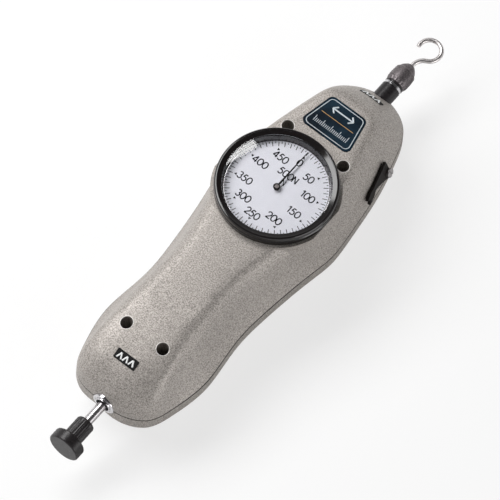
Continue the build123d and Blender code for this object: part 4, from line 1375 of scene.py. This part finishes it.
@dataclass
class Studio:
    """The pale floor, the soft lamps, the world and the camera."""

    aim: Place = (0.00929, -0.02909, 0.0469)
    to_camera: Place = (0.2534, -0.3741, 0.8921)
    camera_up: Place = (-0.5727, 0.6852, 0.4500)
    distance: float = 8.0
    frame_width: float = 0.2058
    sensor: float = 36.0
    reach: float = 40.0
    floor_side: float = 6.0
    floor_drop: float = 0.2 * MM
    lit_gap: float = 1.5 * MM  # light passes the floor to a surface this close, so the flat back shows
    ambient: float = 0.8
    overhead: float = 0.08
    horizon: Point = (0.05, 0.6)  # the heights between which the world turns from white to calm
    paper: Colour = (0.95, 0.95, 0.95)
    paper_roughness: float = 0.9
    paper_specular: float = 0.1
    bare_floor: float = 0.3  # how much of the floor's own shade the camera sees over white
    key: Softbox = Softbox(
        "key softbox", (-0.7333, -0.177, 0.85), (-0.7333, -0.177, 0.0), (0.6, 1.3), 18.5, radians(-18))
    fill: Softbox = Softbox("right fill", (1.2, -0.1, 0.3), (0.0, -0.02, 0.02), (0.9, 0.5), 5.0)

    def floor(self) -> None:
        """Lay the floor, mostly white to the camera, clear from behind and to light close under the back."""
        bpy.ops.object.select_all(action="DESELECT")
        bpy.ops.mesh.primitive_plane_add(size=self.floor_side, location=(0, 0, -self.floor_drop))
        floor = start_piece("floor")
        material, wiring, paper = start_material("floor paper")
        wiring.feed(paper, {
            "Base Color": (*self.paper, 1), "Roughness": self.paper_roughness,
            "Specular IOR Level": self.paper_specular})
        path = wiring.add("LightPath").outputs
        share = wiring.math("MULTIPLY", path["Is Camera Ray"], 1 - self.bare_floor)
        upper = wiring.mixed(share, paper.outputs[0], wiring.add("Emission").outputs[0])
        near = wiring.math("LESS_THAN", path["Ray Length"], self.lit_gap)
        unseen = wiring.math("MAXIMUM", path["Is Shadow Ray"], path["Is Diffuse Ray"])
        behind = wiring.add("NewGeometry").outputs["Backfacing"]
        through = wiring.math("MAXIMUM", behind, wiring.math("MULTIPLY", near, unseen))
        wiring.show(wiring.mixed(through, upper, wiring.add("BsdfTransparent").outputs[0]))
        floor.data.materials.append(material)
        floor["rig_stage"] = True

    def world(self) -> None:
        """Show the world white to the camera, and white at the horizon and calm overhead to the object."""
        world = bpy.data.worlds.new("studio")
        world.use_nodes = True
        bpy.context.scene.world = world
        wiring = Wiring(world.node_tree)
        path = wiring.add("LightPath").outputs
        mirrored = wiring.math("MAXIMUM", path["Is Glossy Ray"], path["Is Transmission Ray"])
        level = wiring.graded(mirrored, (0.0, 1.0), (self.ambient, 1.0))
        way = wiring.add("TexCoord").outputs["Generated"]
        height = wiring.add("SeparateXYZ", {0: way}).outputs["Z"]
        sky = wiring.graded(height, self.horizon, (1.0, self.overhead))
        strength = wiring.math("MAXIMUM", wiring.math("MULTIPLY", level, sky), path["Is Camera Ray"])
        wiring.feed(wiring.tree.nodes["Background"], {"Color": (1, 1, 1, 1), "Strength": strength})

    def camera(self) -> None:
        """Set the camera at the viewing angle, from far off with a long lens."""
        data = bpy.data.cameras.new("camera")
        data.sensor_width = self.sensor
        data.lens = self.sensor * self.distance / self.frame_width
        data.clip_end = self.reach
        camera = bpy.data.objects.new("camera", data)
        bpy.context.scene.collection.objects.link(camera)
        back = Vector(self.to_camera).normalized()
        up = Vector(self.camera_up).normalized()
        right = up.cross(back).normalized()
        camera.matrix_world = Matrix.Translation(Vector(self.aim) + back * self.distance) @ Matrix(
            (right, back.cross(right), back)).transposed().to_4x4()
        bpy.context.scene.camera = camera

    def build(self) -> None:
        """Build the studio."""
        self.floor()
        self.world()
        self.key.hang()
        self.fill.hang()
        self.camera()
        bpy.context.scene.view_settings.view_transform = "Standard"


def corners() -> list[list[float]]:
    """Return the lowest and highest corner of what shows now, as plain numbers."""
    return [list(corner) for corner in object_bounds()]


def main() -> None:
    """Build the gauge and its studio in order."""
    logging.basicConfig(level=logging.INFO, format="%(message)s")
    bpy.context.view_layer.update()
    palette = Palette()
    assemblies = [
        Housing(palette), Badge(palette), EndLabel(palette, node="push_label"),
        EndLabel(palette, node="pull_label"), Dial(palette), Needle(palette), HoldLever(palette),
        PushEnd(palette), PullEnd(palette), Movement(palette)]
    for assembly in assemblies:
        assembly.build()
        assembly.report()
    Studio().build()


if __name__ == "__main__":
    main()
